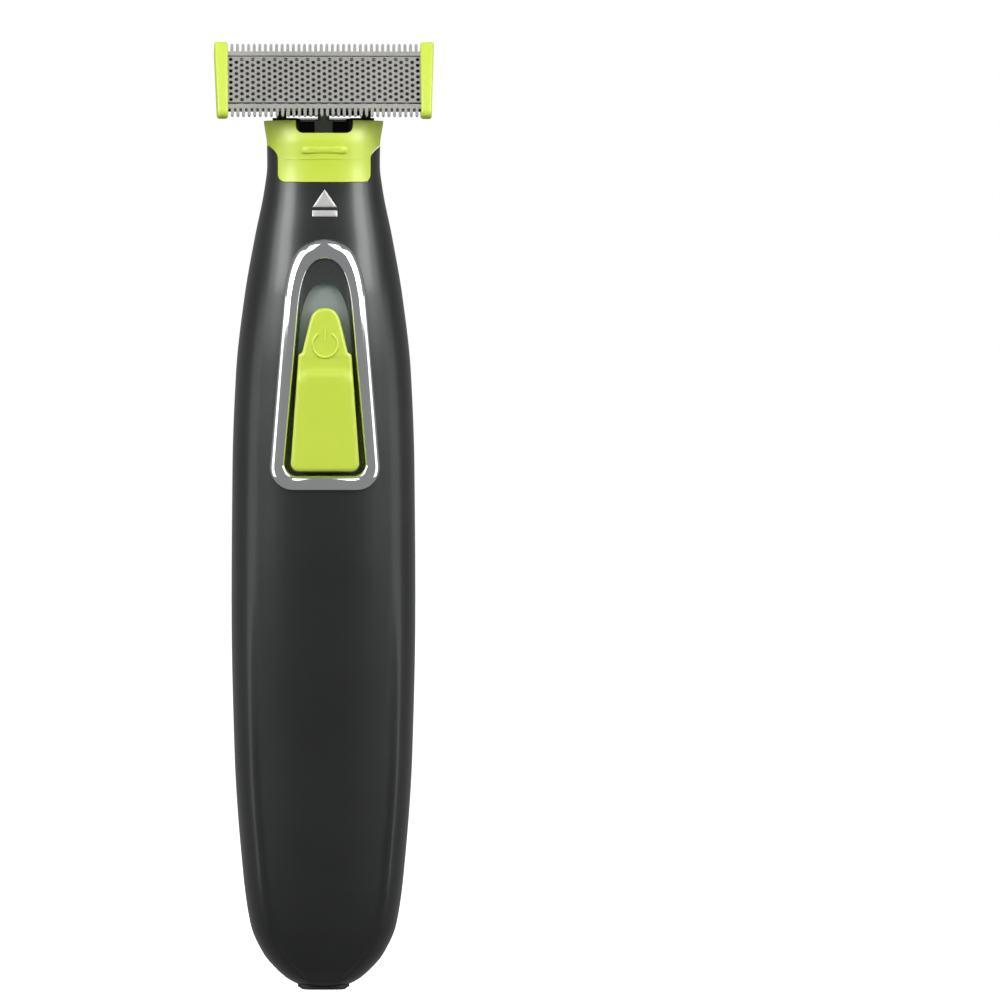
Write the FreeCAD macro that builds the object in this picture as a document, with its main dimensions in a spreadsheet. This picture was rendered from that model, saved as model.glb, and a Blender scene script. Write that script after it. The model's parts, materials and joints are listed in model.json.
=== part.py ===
"""Body groomer: a slim cordless handle with a push-on trimming head.

Frame: +Z runs up the handle from the charging socket to the head, -Y is the side with the power slider.
The origin is the middle of the socket's mouth.  All sizes are in millimetres.
"""
import FreeCAD, Part
import math
import os
import re

import Sketcher
from FreeCAD import Placement, Rotation, Vector

SIZES = {
    # handle shells
    "shoulder_height": 142.6,
    "tail_height": 40.0,
    "neck_height": 54.6,
    "grip_half": 15.5,
    "grip_front": 11.6,
    "grip_back": 12.9,
    "neck_half": 9.5,
    "neck_front": 7.8,
    "neck_back": 7.7,
    "wall": 1.6,
    "parting": 0.5,
    "lip_height": 1.4,
    "lip_wall": 0.5,
    "gap": 0.25,
    "fit": 0.05,
    # power switch on the front
    "bezel_drop": 16.2,
    "bezel_height": 42.4,
    "bezel_low_half": 9.3,
    "bezel_high_half": 7.0,
    "bezel_crown": 10.2,
    "bezel_corner": 4.0,
    "bezel_ring": 2.55,
    "bezel_proud": 0.9,
    "bezel_depth": 3.4,
    "surround_front": 9.9,
    "surround_thick": 0.9,
    "track_thick": 0.7,
    "slider_rise": 3.3,
    "slider_height": 27.4,
    "slider_low_half": 5.73,
    "slider_shoulder_half": 4.44,
    "slider_high_half": 3.85,
    "slider_crown": 7.6,
    "slider_corner": 1.25,
    "slider_proud": 1.0,
    "slider_step": 16.8,
    "slider_step_depth": 0.35,
    "slider_travel": 3.6,
    "stem_half": 1.8,
    "stem_length": 8.0,
    "carriage_half": 3.6,
    "carriage_edge": 0.7,
    "carriage_overlap": 1.0,
    "carriage_thick": 1.0,
    "knob_half": 0.7,
    "knob_length": 1.6,
    "knob_gap": 0.6,
    # marks
    "eject_height": 4.5,
    "eject_half": 2.1,
    "eject_drop": 12.5,
    "eject_bar": 1.1,
    "eject_slit": 0.4,
    "mark_depth": 0.3,
    "power_ring": 2.1,
    "power_line": 0.5,
    "power_drop": 6.2,
    "power_notch": 0.8,
    "power_proud": 0.15,
    # electrics
    "board_front": 4.6,
    "board_thick": 1.0,
    "board_half": 8.5,
    "board_overhang": 1.5,
    "board_margin": 0.4,
    "board_hole_inset": 2.0,
    "board_hole_rise": 3.0,
    "switch_half": 3.2,
    "switch_length": 6.0,
    "switch_room": 1.9,
    "switch_floor": 0.35,
    "cell_radius": 7.0,
    "cell_length": 44.0,
    "cell_bottom": 32.0,
    "cell_gap": 0.15,
    "cell_bead": 0.4,
    "cell_crimp": 0.8,
    "cell_button": 2.8,
    "tray_wall": 1.25,
    "tray_end": 2.0,
    "tray_open": 2.5,
    "mount_open": 0.8,
    "contact_thick": 0.4,
    "flange_thick": 1.2,
    "flange_set": 0.2,
    "boss_radius": 1.7,
    "boss_inset": 4.0,
    "boss_drop": 8.0,
    "screw_radius": 0.85,
    "screw_length": 4.0,
    "screw_head": 1.4,
    "screw_head_thick": 0.9,
    "screw_slot": 0.4,
    # charging socket
    "socket_half": 3.6,
    "socket_depth_half": 2.3,
    "socket_depth": 8.2,
    "socket_wall": 0.8,
    "socket_length": 11.0,
    "socket_tail": 3.0,
    "charge_pin_radius": 0.5,
    "charge_pin_pitch": 3.8,
    "charge_pin_length": 4.0,
    "charge_pin_root": 0.7,
    # drive
    "motor_radius": 6.0,
    "motor_drop": 17.6,
    "motor_length": 19.0,
    "motor_boss": 1.0,
    "shaft_set": 2.5,
    "shaft_clearance": 0.03,
    "shaft_radius": 0.75,
    "cam_lift": 1.6,
    "cam_radius": 2.4,
    "cam_length": 3.0,
    "cam_offset": 0.34,
    "cam_pin_radius": 0.75,
    "cam_pin_length": 3.0,
    "rocker_drop": 4.4,
    "rocker_reach": 7.4,
    "rocker_half": 1.5,
    "rocker_thick": 2.0,
    "fork_gap": 4.0,
    "fork_clearance": 0.5,
    "hub_half": 2.1,
    "hub_reach": 2.2,
    "fork_wall": 1.0,
    "drive_pin_radius": 1.0,
    "rocker_bore_clearance": 0.03,
    "rocker_pin_radius": 0.75,
    # neck
    "stub_root": 0.5,
    "bulkhead_thick": 2.6,
    "stub_half": 5.0,
    "stub_depth_half": 3.6,
    "stub_height": 6.0,
    "collar_tab": 6.6,
    "collar_rise": 3.8,
    "collar_half": 7.8,
    "collar_waist": 2.2,
    "collar_corner": 1.2,
    "collar_bar_half": 3.9,
    "collar_bar_height": 1.1,
    "collar_bar_rise": 0.3,
    "collar_window_half": 4.8,
    "collar_window_drop": 2.2,
    "apron_height": 0.8,
    "apron_front": 1.2,
    "apron_back": 3.9,
    "yoke_floor": 1.2,
    "rocker_room": 1.2,
    "collar_wall": 1.3,
    "seal_thick": 0.4,
    "seal_width": 1.4,
    "latch_thick": 0.3,
    "latch_foot": 1.0,
    "latch_drop": 0.6,
    "latch_width": 3.0,
    # tilting head
    "head_y": -6.6,
    "head_rise": 10.6,
    "head_lean": 24.0,
    "head_half": 16.2,
    "head_height_half": 7.1,
    "cap_thick": 2.35,
    "cap_taper": 1.9,
    "cap_round": 0.8,
    "cap_proud": 0.5,
    "foil_half_height": 4.27,
    "foil_thick": 0.35,
    "hole_margin": 0.15,
    "hole_radius": 0.32,
    "hole_pitch": 0.925,
    "comb_bar_low": 4.5,
    "comb_bar_high": 5.3,
    "comb_tip": 6.7,
    "comb_set": 0.1,
    "comb_thick": 0.5,
    "tooth_pitch": 0.94,
    "tooth_tip": 0.3,
    "tooth_width": 0.5,
    "cutter_front": 0.8,
    "cutter_thick": 0.4,
    "cutter_short": 0.35,
    "cutter_stroke": 0.75,
    "carrier_back": 4.4,
    "carrier_margin": 0.5,
    "carrier_chamfer": 1.4,
    "carrier_wall": 1.2,
    "pivot_drop": 1.5,
    "pivot_back": 6.8,
    "pivot_pin_radius": 0.8,
    "pivot_clearance": 0.04,
    "lug_clearance": 0.35,
    "lug_radius": 1.8,
    "lug_inner": 4.4,
    "lug_outer": 6.0,
    "ear_inner": 6.3,
    "ear_outer": 7.9,
    "ear_clearance": 0.15,
    "ear_radius": 1.7,
    "driver_half": 2.6,
    "driver_back": 9.2,
    "driver_low": 2.4,
    "driver_high": 1.5,
    "driver_slot": 3.2,
    "driver_room": 1.2,
    "hood_slope": 0.6,
    "spring_start": 6.5,
    "spring_end": 13.5,
    "spring_half": 1.2,
    "spring_thick": 0.3,
    "tilt_spring_radius": 0.3,
    "tilt_spring_back": 4.4,
    "hood_wall": 0.7,
}

# Share of the grip's section along the tail: share of its height, of the half width and of the depth.
TAIL = ((0, 0.232, 0.276), (0.025, 0.323, 0.38), (0.075, 0.484, 0.526), (0.15, 0.652, 0.68),
        (0.275, 0.794, 0.828), (0.5, 0.877, 0.92), (1, 0.968, 0.983))
# How far the section has gone from grip to neck: share of the neck's height below the shoulder, width, depth.
NECK = ((1, 0.025, 0), (0.707, 0.125, 0.02), (0.469, 0.367, 0.12), (0.286, 0.658, 0.52), (0.139, 0.925, 0.9),
        (0.066, 1, 1), (0, 0.99, 1.02), (-0.073, 0.9, 1.3), (-0.165, 0.88, 1.4))
SECTION_POWER = 2.4
SECTION_POINTS = 28
FAR = 60.0

# Heights and depths that follow from the driving dimensions.
PLACES = {
    "bezel_top": "shoulder_height - bezel_drop",
    "bezel_bottom": "bezel_top - bezel_height",
    "slider_bottom": "bezel_bottom + slider_rise",
    "slider_middle": "slider_bottom + slider_height/2",
    "eject_bottom": "shoulder_height - eject_drop",
    "motor_bottom": "shoulder_height - motor_drop - motor_length",
    "motor_top": "shoulder_height - motor_drop",
    "cam_bottom": "motor_top + cam_lift",
    "peg_bottom": "cam_bottom + cam_length",
    "rocker_pivot": "shoulder_height - rocker_drop",
    "rocker_tip": "shoulder_height + rocker_reach",
    "collar_bottom": "shoulder_height - collar_tab",
    "collar_shoulder": "shoulder_height - collar_waist",
    "collar_top": "shoulder_height + collar_rise",
    "bulkhead_top": "collar_bottom - gap - seal_thick - 2*fit",
    "head_z": "shoulder_height + head_rise",
    "carriage_front": "-surround_front + surround_thick + track_thick + gap",
    "knob_level": "motor_bottom - switch_room - slider_travel - switch_length/2",
    "board_bottom": "cell_bottom - board_overhang",
    "board_top": "knob_level + switch_length/2 + slider_travel + board_margin",
    "cell_top": "cell_bottom + cell_length",
    "cell_y": "cell_radius + cell_gap + board_thick - board_front",
    "tray_half": "cell_radius + tray_wall",
    "tray_side": "max(tray_half; board_half + fit - gap)",
    "mount_half": "motor_radius + tray_wall",
    "boss_reach": "boss_radius + gap",
}

doc = FreeCAD.newDocument("body_groomer")
sheet = doc.addObject("Spreadsheet::Sheet", "Sizes")
for row, (alias, number) in enumerate(SIZES.items(), start=1):
    sheet.set(f"A{row}", alias)
    sheet.set(f"B{row}", str(number))
    sheet.setAlias(f"B{row}", alias)
doc.recompute()
NODES = []


def bound_word(word):
    """A driving dimension's cell, or the expression that a named place stands for."""
    if word in PLACES:
        return f"({bound(PLACES[word])})"
    return f"Sizes.{word}" if word in SIZES else word


def bound(text):
    """An expression in which every driving dimension is read from the sheet."""
    return re.sub(r"[a-z_]+", lambda found: bound_word(found[0]), text)


def value(text):
    """The number that such an expression gives now."""
    return float(sheet.evalExpression(bound(text)))


def size(alias):
    """The current value of a driving dimension or a named place."""
    return value(alias)


# ---------------------------------------------------------------- helpers: document objects

def node(item, label):
    """Names a finished sub-part after the node that it becomes."""
    item.Label = label
    NODES.append(item)
    return item


def body(name):
    return doc.addObject("PartDesign::Body", name)


PLANES = {"XY": "XY_Plane", "XZ": "XZ_Plane", "YZ": "YZ_Plane"}


def sketch_on(owner, name, plane, offset="0"):
    """A sketch on one of the body's own planes, moved along that plane's normal (XZ looks along -Y)."""
    sketch = owner.newObject("Sketcher::SketchObject", name)
    support = next(f for f in owner.Origin.OriginFeatures if f.Role == PLANES[plane])
    sketch.AttachmentSupport = [(support, "")]
    sketch.MapMode = "FlatFace"
    sketch.setExpression("AttachmentOffset.Base.z", bound(offset))
    return sketch


def polygon(sketch, corners):
    """A closed polygon whose every corner is dimensioned from the origin by a pair of expressions."""
    spots = [(value(a), value(b)) for a, b in corners]
    first = sketch.GeometryCount
    count = len(spots)
    for i, (a, b) in enumerate(spots):
        c, d = spots[(i + 1) % count]
        sketch.addGeometry(Part.LineSegment(Vector(a, b, 0), Vector(c, d, 0)))
    for i in range(count):
        sketch.addConstraint(Sketcher.Constraint("Coincident", first + i, 2, first + (i + 1) % count, 1))
    for i, corner in enumerate(corners):
        for kind, text, number in zip(("DistanceX", "DistanceY"), corner, spots[i]):
            index = sketch.addConstraint(Sketcher.Constraint(kind, -1, 1, first + i, 1, number))
            sketch.setExpression(f"Constraints[{index}]", bound(text))


def rectangle(sketch, left, right, low, high):
    polygon(sketch, [(left, low), (right, low), (right, high), (left, high)])


def circle(sketch, across, up, radius):
    centre = Vector(value(across), value(up), 0)
    index = sketch.addGeometry(Part.Circle(centre, Vector(0, 0, 1), value(radius)))
    for kind, text in (("DistanceX", across), ("DistanceY", up)):
        which = sketch.addConstraint(Sketcher.Constraint(kind, -1, 1, index, 3, value(text)))
        sketch.setExpression(f"Constraints[{which}]", bound(text))
    which = sketch.addConstraint(Sketcher.Constraint("Radius", index, value(radius)))
    sketch.setExpression(f"Constraints[{which}]", bound(radius))


def pad(owner, sketch, length, both_ways=False):
    feature = owner.newObject("PartDesign::Pad", sketch.Name + "_pad")
    feature.Profile = sketch
    feature.setExpression("Length", bound(length))
    feature.Midplane = both_ways
    sketch.Visibility = False
    return feature


def pocket(owner, sketch, length, both_ways=False):
    feature = owner.newObject("PartDesign::Pocket", sketch.Name + "_pocket")
    feature.Profile = sketch
    feature.setExpression("Length", bound(length))
    feature.Midplane = both_ways
    return feature


def repeat(owner, feature, sketch, axis, length, count):
    """Repeats a feature along one of its sketch's axes."""
    pattern = owner.newObject("PartDesign::LinearPattern", feature.Name + "_row")
    pattern.Originals = [feature]
    pattern.Direction = (sketch, [axis])
    pattern.Occurrences = count
    pattern.setExpression("Length", bound(length))
    owner.Tip = pattern
    return pattern


def box(name, across, deep, up):
    """A box between pairs of expressions along X, Y and Z."""
    item = doc.addObject("Part::Box", name)
    for prop, axis, (low, high) in zip(("Length", "Width", "Height"), "xyz", (across, deep, up)):
        item.setExpression(prop, bound(f"({high}) - ({low})"))
        item.setExpression(f"Placement.Base.{axis}", bound(low))
    return item


def cylinder(name, radius, height, base, along="z"):
    """A cylinder from a base point of three expressions, along X, Y or Z."""
    item = doc.addObject("Part::Cylinder", name)
    turn = {"x": Rotation(Vector(0, 1, 0), 90), "y": Rotation(Vector(1, 0, 0), -90), "z": Rotation()}[along]
    item.Placement = Placement(Vector(), turn)
    item.setExpression("Radius", bound(radius))
    item.setExpression("Height", bound(height))
    for axis, text in zip("xyz", base):
        item.setExpression(f"Placement.Base.{axis}", bound(text))
    return item


def fuse(name, *items):
    item = doc.addObject("Part::MultiFuse", name)
    item.Shapes = list(items)
    return item


def cut(name, base, *tools):
    item = doc.addObject("Part::Cut", name)
    item.Base = base
    item.Tool = tools[0] if len(tools) == 1 else fuse(name + "_tools", *tools)
    return item


def feature(name, shape, placement=None):
    """A freeform sub-part, whose shape this file works out from the sheet."""
    item = doc.addObject("Part::Feature", name)
    item.Shape = shape
    item.Placement = placement or Placement()
    return item


# ---------------------------------------------------------------- helpers: freeform shapes

def stations():
    """The handle's sections from the bottom up: height, half width, front and back depth."""
    grip = (size("grip_half"), size("grip_front"), size("grip_back"))
    neck = (size("neck_half"), size("neck_front"), size("neck_back"))
    rows = [(z * size("tail_height"), grip[0] * w, grip[1] * d, grip[2] * d) for z, w, d in TAIL]
    rows.append(((size("tail_height") + size("shoulder_height") - size("neck_height")) / 2, *grip))
    for share, width, depth in NECK:
        row = [g + (n - g) * f for g, n, f in zip(grip, neck, (width, depth, depth))]
        rows.append((size("shoulder_height") - share * size("neck_height"), *row))
    return rows


def section(z, half, front, back):
    """A closed superellipse across the handle."""
    middle = (back - front) / 2
    deep = (back + front) / 2
    points = []
    for k in range(SECTION_POINTS):
        turn = 2 * math.pi * k / SECTION_POINTS + math.pi / 2
        x = half * math.copysign(abs(math.cos(turn)) ** (2 / SECTION_POWER), math.cos(turn))
        y = deep * math.copysign(abs(math.sin(turn)) ** (2 / SECTION_POWER), math.sin(turn))
        points.append(Vector(x, middle + y, z))
    curve = Part.BSplineCurve()
    curve.interpolate(Points=points, PeriodicFlag=True)
    return Part.Wire(curve.toShape())


def handle_form(grow=0.0):
    """The handle's smooth outer form, grown outwards or, if negative, shrunk inwards."""
    rows = [(z, half + grow, front + grow, back + grow) for z, half, front, back in stations()]
    return Part.makeLoft([section(*row) for row in rows], True, False)


def slab(axis, low, high):
    """All the space between two planes across X, Y or Z."""
    span = {"x": [-FAR, FAR], "y": [-FAR, FAR], "z": [-FAR, 4 * FAR]}
    span[axis] = [low, high]
    corner = Vector(span["x"][0], span["y"][0], span["z"][0])
    lengths = [high_end - low_end for low_end, high_end in span.values()]
    return Part.makeBox(*lengths, corner)


def prism(wire, front=-FAR, back=FAR):
    """The space inside a wire drawn in the XZ plane, from front to back."""
    face = Part.Face(wire)
    face.translate(Vector(0, front, 0))
    return face.extrude(Vector(0, back - front, 0))


def mirrored(edges):
    """Closes a right-hand outline, drawn from bottom middle to top middle, with its mirror image."""
    other = [e.mirror(Vector(), Vector(1, 0, 0)) for e in edges]
    return Part.Wire(Part.__sortEdges__(edges + other))


def line(a, b):
    return Part.LineSegment(Vector(a[0], 0, a[1]), Vector(b[0], 0, b[1])).toShape()


def corner_arc(a, corner, b):
    """A quarter turn from a to b that would meet its tangents at the corner point."""
    reach = math.sqrt(0.5)
    middle = [c + (1 - reach) * ((p + q) - 2 * c) for p, q, c in zip(a, b, corner)]
    return Part.Arc(Vector(a[0], 0, a[1]), Vector(middle[0], 0, middle[1]), Vector(b[0], 0, b[1])).toShape()


def arch(bottom, top, low_half, high_half, crown, corner):
    """An upright arch: flat bottom with round corners, tapered sides and a rounded crown."""
    foot = bottom + corner
    shoulder = top - crown
    slope = Vector(high_half - low_half, 0, shoulder - foot)
    curve = Part.BSplineCurve()
    tangents = [slope.normalize() * crown * 1.4, Vector(-high_half * 1.6, 0, 0)]
    curve.interpolate(Points=[Vector(high_half, 0, shoulder), Vector(0, 0, top)], Tangents=tangents,
                      TangentFlags=[True, True])
    right = [
        line((0, bottom), (low_half - corner, bottom)),
        corner_arc((low_half - corner, bottom), (low_half, bottom), (low_half, foot)),
        line((low_half, foot), (high_half, shoulder)),
        curve.toShape(),
    ]
    return mirrored(right)


def rounded_rectangle(left, right, low, high, radius):
    """A rectangle in the XY plane with round corners, as a wire."""
    plate = Part.makePlane(right - left, high - low, Vector(left, low, 0))
    solid = plate.extrude(Vector(0, 0, 1))
    upright = [e for e in solid.Edges if abs(e.tangentAt(e.FirstParameter).z) > 0.9]
    rounded = solid.makeFillet(radius, upright)
    return min(rounded.Faces, key=lambda face: face.CenterOfMass.z).OuterWire


def stadium(half, depth_half, low, high):
    """A rounded-end prism along Z for the charging socket."""
    wire = rounded_rectangle(-half, half, -depth_half, depth_half, 0.8 * depth_half)
    face = Part.Face(wire)
    face.translate(Vector(0, 0, low))
    return face.extrude(Vector(0, 0, high - low))


def bezel_outline(inset):
    """The bezel's outer outline, drawn in by an inset."""
    return arch(size("bezel_bottom") + inset, size("bezel_top") - 1.3 * inset, size("bezel_low_half") - inset,
                size("bezel_high_half") - inset, size("bezel_crown") - 0.5 * inset,
                max(size("bezel_corner") - inset, 0.5))


def slider_outline(upper_half, grow=0.0, travel=0.0):
    """The power slider's outline, grown by a clearance and stretched upwards by its travel."""
    return arch(size("slider_bottom") - grow, size("slider_bottom") + size("slider_height") + travel + grow,
                size("slider_low_half") + grow, upper_half + grow, size("slider_crown") + grow,
                size("slider_corner") + grow)


def collar_outline(grow=0.0):
    """The release collar seen from the front: a tab below, shoulders that flare over the handle's top."""
    half = size("collar_half") + grow
    bottom = size("collar_bottom") - grow
    shoulder = size("collar_shoulder") - grow
    corner = size("collar_corner") + grow
    flare = size("neck_half") + 2 * grow
    top = size("shoulder_height") - grow
    right = [
        line((0, bottom), (half - corner, bottom)),
        corner_arc((half - corner, bottom), (half, bottom), (half, bottom + corner)),
        line((half, bottom + corner), (half, shoulder)),
        line((half, shoulder), (flare, top)),
        line((flare, top), (FAR, top)),
        line((FAR, top), (FAR, 4 * FAR)),
        line((FAR, 4 * FAR), (0, 4 * FAR)),
    ]
    return mirrored(right)


# ---------------------------------------------------------------- handle shells

TRAY_LEVELS = ("cell_bottom + boss_inset", "cell_top - boss_inset")
MOUNT_LEVELS = ("motor_bottom + boss_inset", "motor_top - boss_drop")


def boss_spots():
    """Where the chassis screws go: x and z of each."""
    tray = [(value("tray_side + boss_reach"), value(level)) for level in TRAY_LEVELS]
    mount = [(value("mount_half + boss_reach"), value(level)) for level in MOUNT_LEVELS]
    return [(side * x, z) for side in (1, -1) for x, z in tray + mount]


def front_bosses(inner):
    """Screw bosses that stand on the front wall inside and stop at the flanges."""
    front = -size("grip_front")
    back = -value("flange_set + flange_thick")
    posts = []
    for x, z in boss_spots():
        post = Part.makeCylinder(size("boss_radius"), back - front, Vector(x, front, z), Vector(0, 1, 0))
        mouth = Vector(x, back, z)
        hole = Part.makeCylinder(size("screw_radius"), size("screw_length"), mouth, Vector(0, -1, 0))
        posts.append(post.common(inner).cut(hole))
    return posts


def make_shells():
    outer = handle_form()
    inner = handle_form(-size("wall"))
    shell = outer.cut(inner)
    shell = shell.cut(prism(collar_outline(size("gap"))))
    socket_wall = size("socket_wall")
    socket = stadium(size("socket_half") + socket_wall, size("socket_depth_half") + socket_wall,
                     -FAR, size("socket_length"))
    shell = shell.cut(socket)
    front = shell.common(slab("y", -FAR, size("parting")))
    front = front.cut(prism(bezel_outline(size("bezel_ring") / 2), -FAR, 0))
    grown = handle_form(size("fit") - size("mark_depth"))
    for mark in eject_prisms():
        front = front.cut(mark.cut(grown))
    front = front.fuse(front_bosses(inner))
    back = shell.common(slab("y", size("parting"), FAR))
    node(feature("FrontShell", front), "front_shell")
    node(feature("BackShell", back), "back_shell")


def make_gasket():
    """The soft band that lines the seam between the shells inside and keeps water out."""
    outer = handle_form(-size("wall") - size("fit"))
    inner = handle_form(-size("wall") - size("fit") - size("lip_wall"))
    seam = slab("y", size("parting") - size("lip_height"), size("parting") + size("lip_height"))
    run = slab("z", value("socket_length + socket_tail"), size("motor_bottom"))
    node(feature("SeamGasket", outer.cut(inner).common(seam).common(run)), "seam_gasket")


def eject_prisms():
    """The generic eject sign: a triangle above a bar, as two prisms through the front wall."""
    half = size("eject_half")
    low = size("eject_bottom")
    bar_top = low + size("eject_bar")
    base = bar_top + size("eject_slit")
    top = low + size("eject_height")
    bar = ((-half, low), (half, low), (half, bar_top), (-half, bar_top))
    triangle = ((-half, base), (half, base), (0, top))
    wires = [Part.makePolygon([Vector(x, 0, z) for x, z in sign + sign[:1]]) for sign in (bar, triangle)]
    return [prism(wire, -FAR, 0) for wire in wires]


def make_eject_mark():
    skin = handle_form(size("fit")).cut(handle_form(size("fit") - size("mark_depth")))
    node(feature("EjectMark", Part.makeCompound([skin.common(p) for p in eject_prisms()])), "eject_mark")


# ---------------------------------------------------------------- power switch

def make_bezel():
    """A bright ring: a flange that stands proud of the shell and a skirt that drops through its opening."""
    hole = prism(bezel_outline(size("bezel_ring")), -FAR, 0)
    ring = handle_form(size("bezel_proud")).cut(handle_form())
    flange = ring.common(prism(bezel_outline(0), -FAR, 0)).cut(hole)
    skirt_outer = prism(bezel_outline(size("bezel_ring") / 2 + size("fit")), -FAR, 0)
    skirt_back = -size("surround_front") + size("surround_thick")
    skirt = handle_form(size("bezel_proud") / 2).common(skirt_outer).cut(hole)
    skirt = skirt.common(slab("y", -FAR, skirt_back))
    node(feature("ChromeBezel", flange.fuse(skirt)), "chrome_bezel")


def make_surround():
    """The dark plate inside the bezel, open under the slider."""
    front = -size("surround_front")
    back = front + size("surround_thick")
    plate = prism(bezel_outline(size("bezel_ring") + size("fit")), front, back)
    opening = prism(slider_outline(size("slider_high_half"), size("gap"), size("slider_travel")), -FAR, 0)
    node(feature("SwitchSurround", plate.cut(opening)), "switch_surround")


def make_track():
    """The grey plate behind the slider, with the slot that its stem runs in."""
    front = -size("surround_front") + size("surround_thick")
    plate = prism(bezel_outline(size("bezel_ring") / 2 + size("fit")), front, front + size("track_thick"))
    middle = size("slider_middle")
    slot = slab("x", -size("stem_half") - size("gap"), size("stem_half") + size("gap"))
    low = middle - size("stem_length") / 2 - size("gap")
    slot = slot.common(slab("z", low, low + size("stem_length") + size("slider_travel") + 2 * size("gap")))
    node(feature("TrackPlate", plate.cut(slot)), "track_plate")


def make_slider():
    """The thumb pad with its shoulders and step, and the stem that runs back to the carriage."""
    base = -size("surround_front") - size("gap")
    crown = prism(slider_outline(size("slider_high_half")), -FAR, base)
    wide = prism(slider_outline(size("slider_shoulder_half")), -FAR, base)
    shoulder = value("slider_bottom + slider_height - slider_crown")
    outline = crown.fuse(wide.common(slab("z", 0, shoulder)))
    step_z = size("slider_bottom") + size("slider_step")
    below_step = Part.makeCylinder(FAR, FAR, Vector(0, -FAR, step_z - FAR), Vector(0, 1, 0))
    lower = handle_form(size("slider_proud")).common(outline).common(below_step)
    upper = handle_form(value("slider_proud - slider_step_depth")).common(outline)
    corner = Vector(-size("stem_half"), base, value("slider_middle - stem_length/2"))
    deep = value("surround_thick + track_thick + 2*gap")
    stem = Part.makeBox(2 * size("stem_half"), deep, size("stem_length"), corner)
    node(feature("PowerSlider", lower.fuse([upper, stem]).removeSplitter()), "power_slider")


def make_power_mark():
    """A raised stand-by sign on the slider: an open ring with a short stroke."""
    centre = Vector(0, -FAR, value("slider_bottom + slider_height - power_drop"))
    radius = size("power_ring")
    width = size("power_line")
    notch_half = size("power_notch")
    disc = Part.makeCylinder(radius + width / 2, FAR, centre, Vector(0, 1, 0))
    ring = disc.cut(Part.makeCylinder(radius - width / 2, FAR, centre, Vector(0, 1, 0)))
    notch = Part.makeBox(2 * notch_half, FAR, 2 * radius, centre - Vector(notch_half, 0, 0))
    stroke = Part.makeBox(width, FAR, radius, centre + Vector(-width / 2, 0, 0.35 * radius))
    top = value("slider_proud - slider_step_depth")
    skin = handle_form(top + size("power_proud")).cut(handle_form(top))
    parts = [skin.common(ring.cut(notch)), skin.common(stroke)]
    node(feature("PowerMark", Part.makeCompound(parts)), "power_mark")


def make_carriage():
    """The piece behind the track plate that carries the slider's stem to the switch knob."""
    back = "carriage_front + carriage_thick"
    low = "knob_level - knob_length/2 - carriage_edge"
    high = "slider_middle + stem_length/2 + carriage_overlap"
    plate = box("CarriagePlate", ("-carriage_half", "carriage_half"), ("carriage_front", back), (low, high))
    node(plate, "slider_carriage")
    knob = box("SwitchKnob", ("-knob_half", "knob_half"), (back, "-board_front - knob_gap"),
               ("knob_level - knob_length/2", "knob_level + knob_length/2"))
    node(knob, "switch_knob")


# ---------------------------------------------------------------- electrics

def make_board():
    """The circuit board, with two holes near its lower corners."""
    board = body("CircuitBoard")
    outline = sketch_on(board, "BoardOutline", "XZ", "board_front - board_thick")
    rectangle(outline, "-board_half", "board_half", "board_bottom", "board_top")
    pad(board, outline, "board_thick")
    doc.recompute()
    holes = sketch_on(board, "BoardHoles", "XZ", "board_front - board_thick")
    for side in ("-", ""):
        across = f"{side}(board_half - board_hole_inset)"
        circle(holes, across, "board_bottom + board_hole_rise", "screw_radius")
    holes_cut = pocket(board, holes, "board_thick * 3", True)
    board.Tip = holes_cut
    node(board, "circuit_board")


def make_switch():
    """The slide switch on the board, with the channel that its knob runs in."""
    front = "carriage_front + carriage_thick + gap"
    case = box("SwitchCase", ("-switch_half", "switch_half"), (front, "-board_front"),
               ("knob_level - switch_length/2", "knob_level + switch_length/2 + slider_travel"))
    channel = box("SwitchChannel", ("-knob_half - gap", "knob_half + gap"),
                  (f"{front} - carriage_thick", "-board_front - switch_floor"),
                  ("knob_level - knob_length/2 - gap", "knob_level + knob_length/2 + slider_travel + gap"))
    node(cut("SlideSwitch", case, channel), "slide_switch")


def make_battery():
    """The rechargeable cell: a can with a raised contact at its top."""
    cell = body("BatteryCell")
    outline = sketch_on(cell, "CellOutline", "XZ")
    polygon(outline, [
        ("0", "cell_bottom"), ("cell_radius", "cell_bottom"), ("cell_radius", "cell_top - cell_crimp*2"),
        ("cell_radius - cell_bead", "cell_top - cell_crimp*1.5"),
        ("cell_radius - cell_bead/2", "cell_top - cell_crimp"), ("cell_button", "cell_top - cell_crimp"),
        ("cell_button", "cell_top"), ("0", "cell_top"),
    ])
    turned = cell.newObject("PartDesign::Revolution", "CellTurned")
    turned.Profile = outline
    turned.ReferenceAxis = (outline, ["V_Axis"])
    turned.Angle = 360
    cell.setExpression("Placement.Base.y", bound("cell_y"))
    node(cell, "battery_cell")


FLANGE = ("-flange_thick - flange_set", "-flange_set")


def screw_wings(name, half, levels):
    """The flanges of a chassis piece, one across it at each height, and the four screw holes in them."""
    wings = []
    holes = []
    span = f"({half} + boss_reach + boss_radius)"
    for row, level in enumerate(levels):
        wings.append(box(f"{name}Wing{row}", (f"-{span}", span), FLANGE,
                         (f"{level} - boss_radius", f"{level} + boss_radius")))
        for side in ("-", ""):
            tag = "Left" if side else "Right"
            holes.append(cylinder(f"{name}{tag}{row}", "screw_radius + 3*fit", "flange_thick*4",
                                  (f"{side}({half} + boss_reach)", "-flange_thick*2", level), "y"))
    return wings, holes


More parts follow.
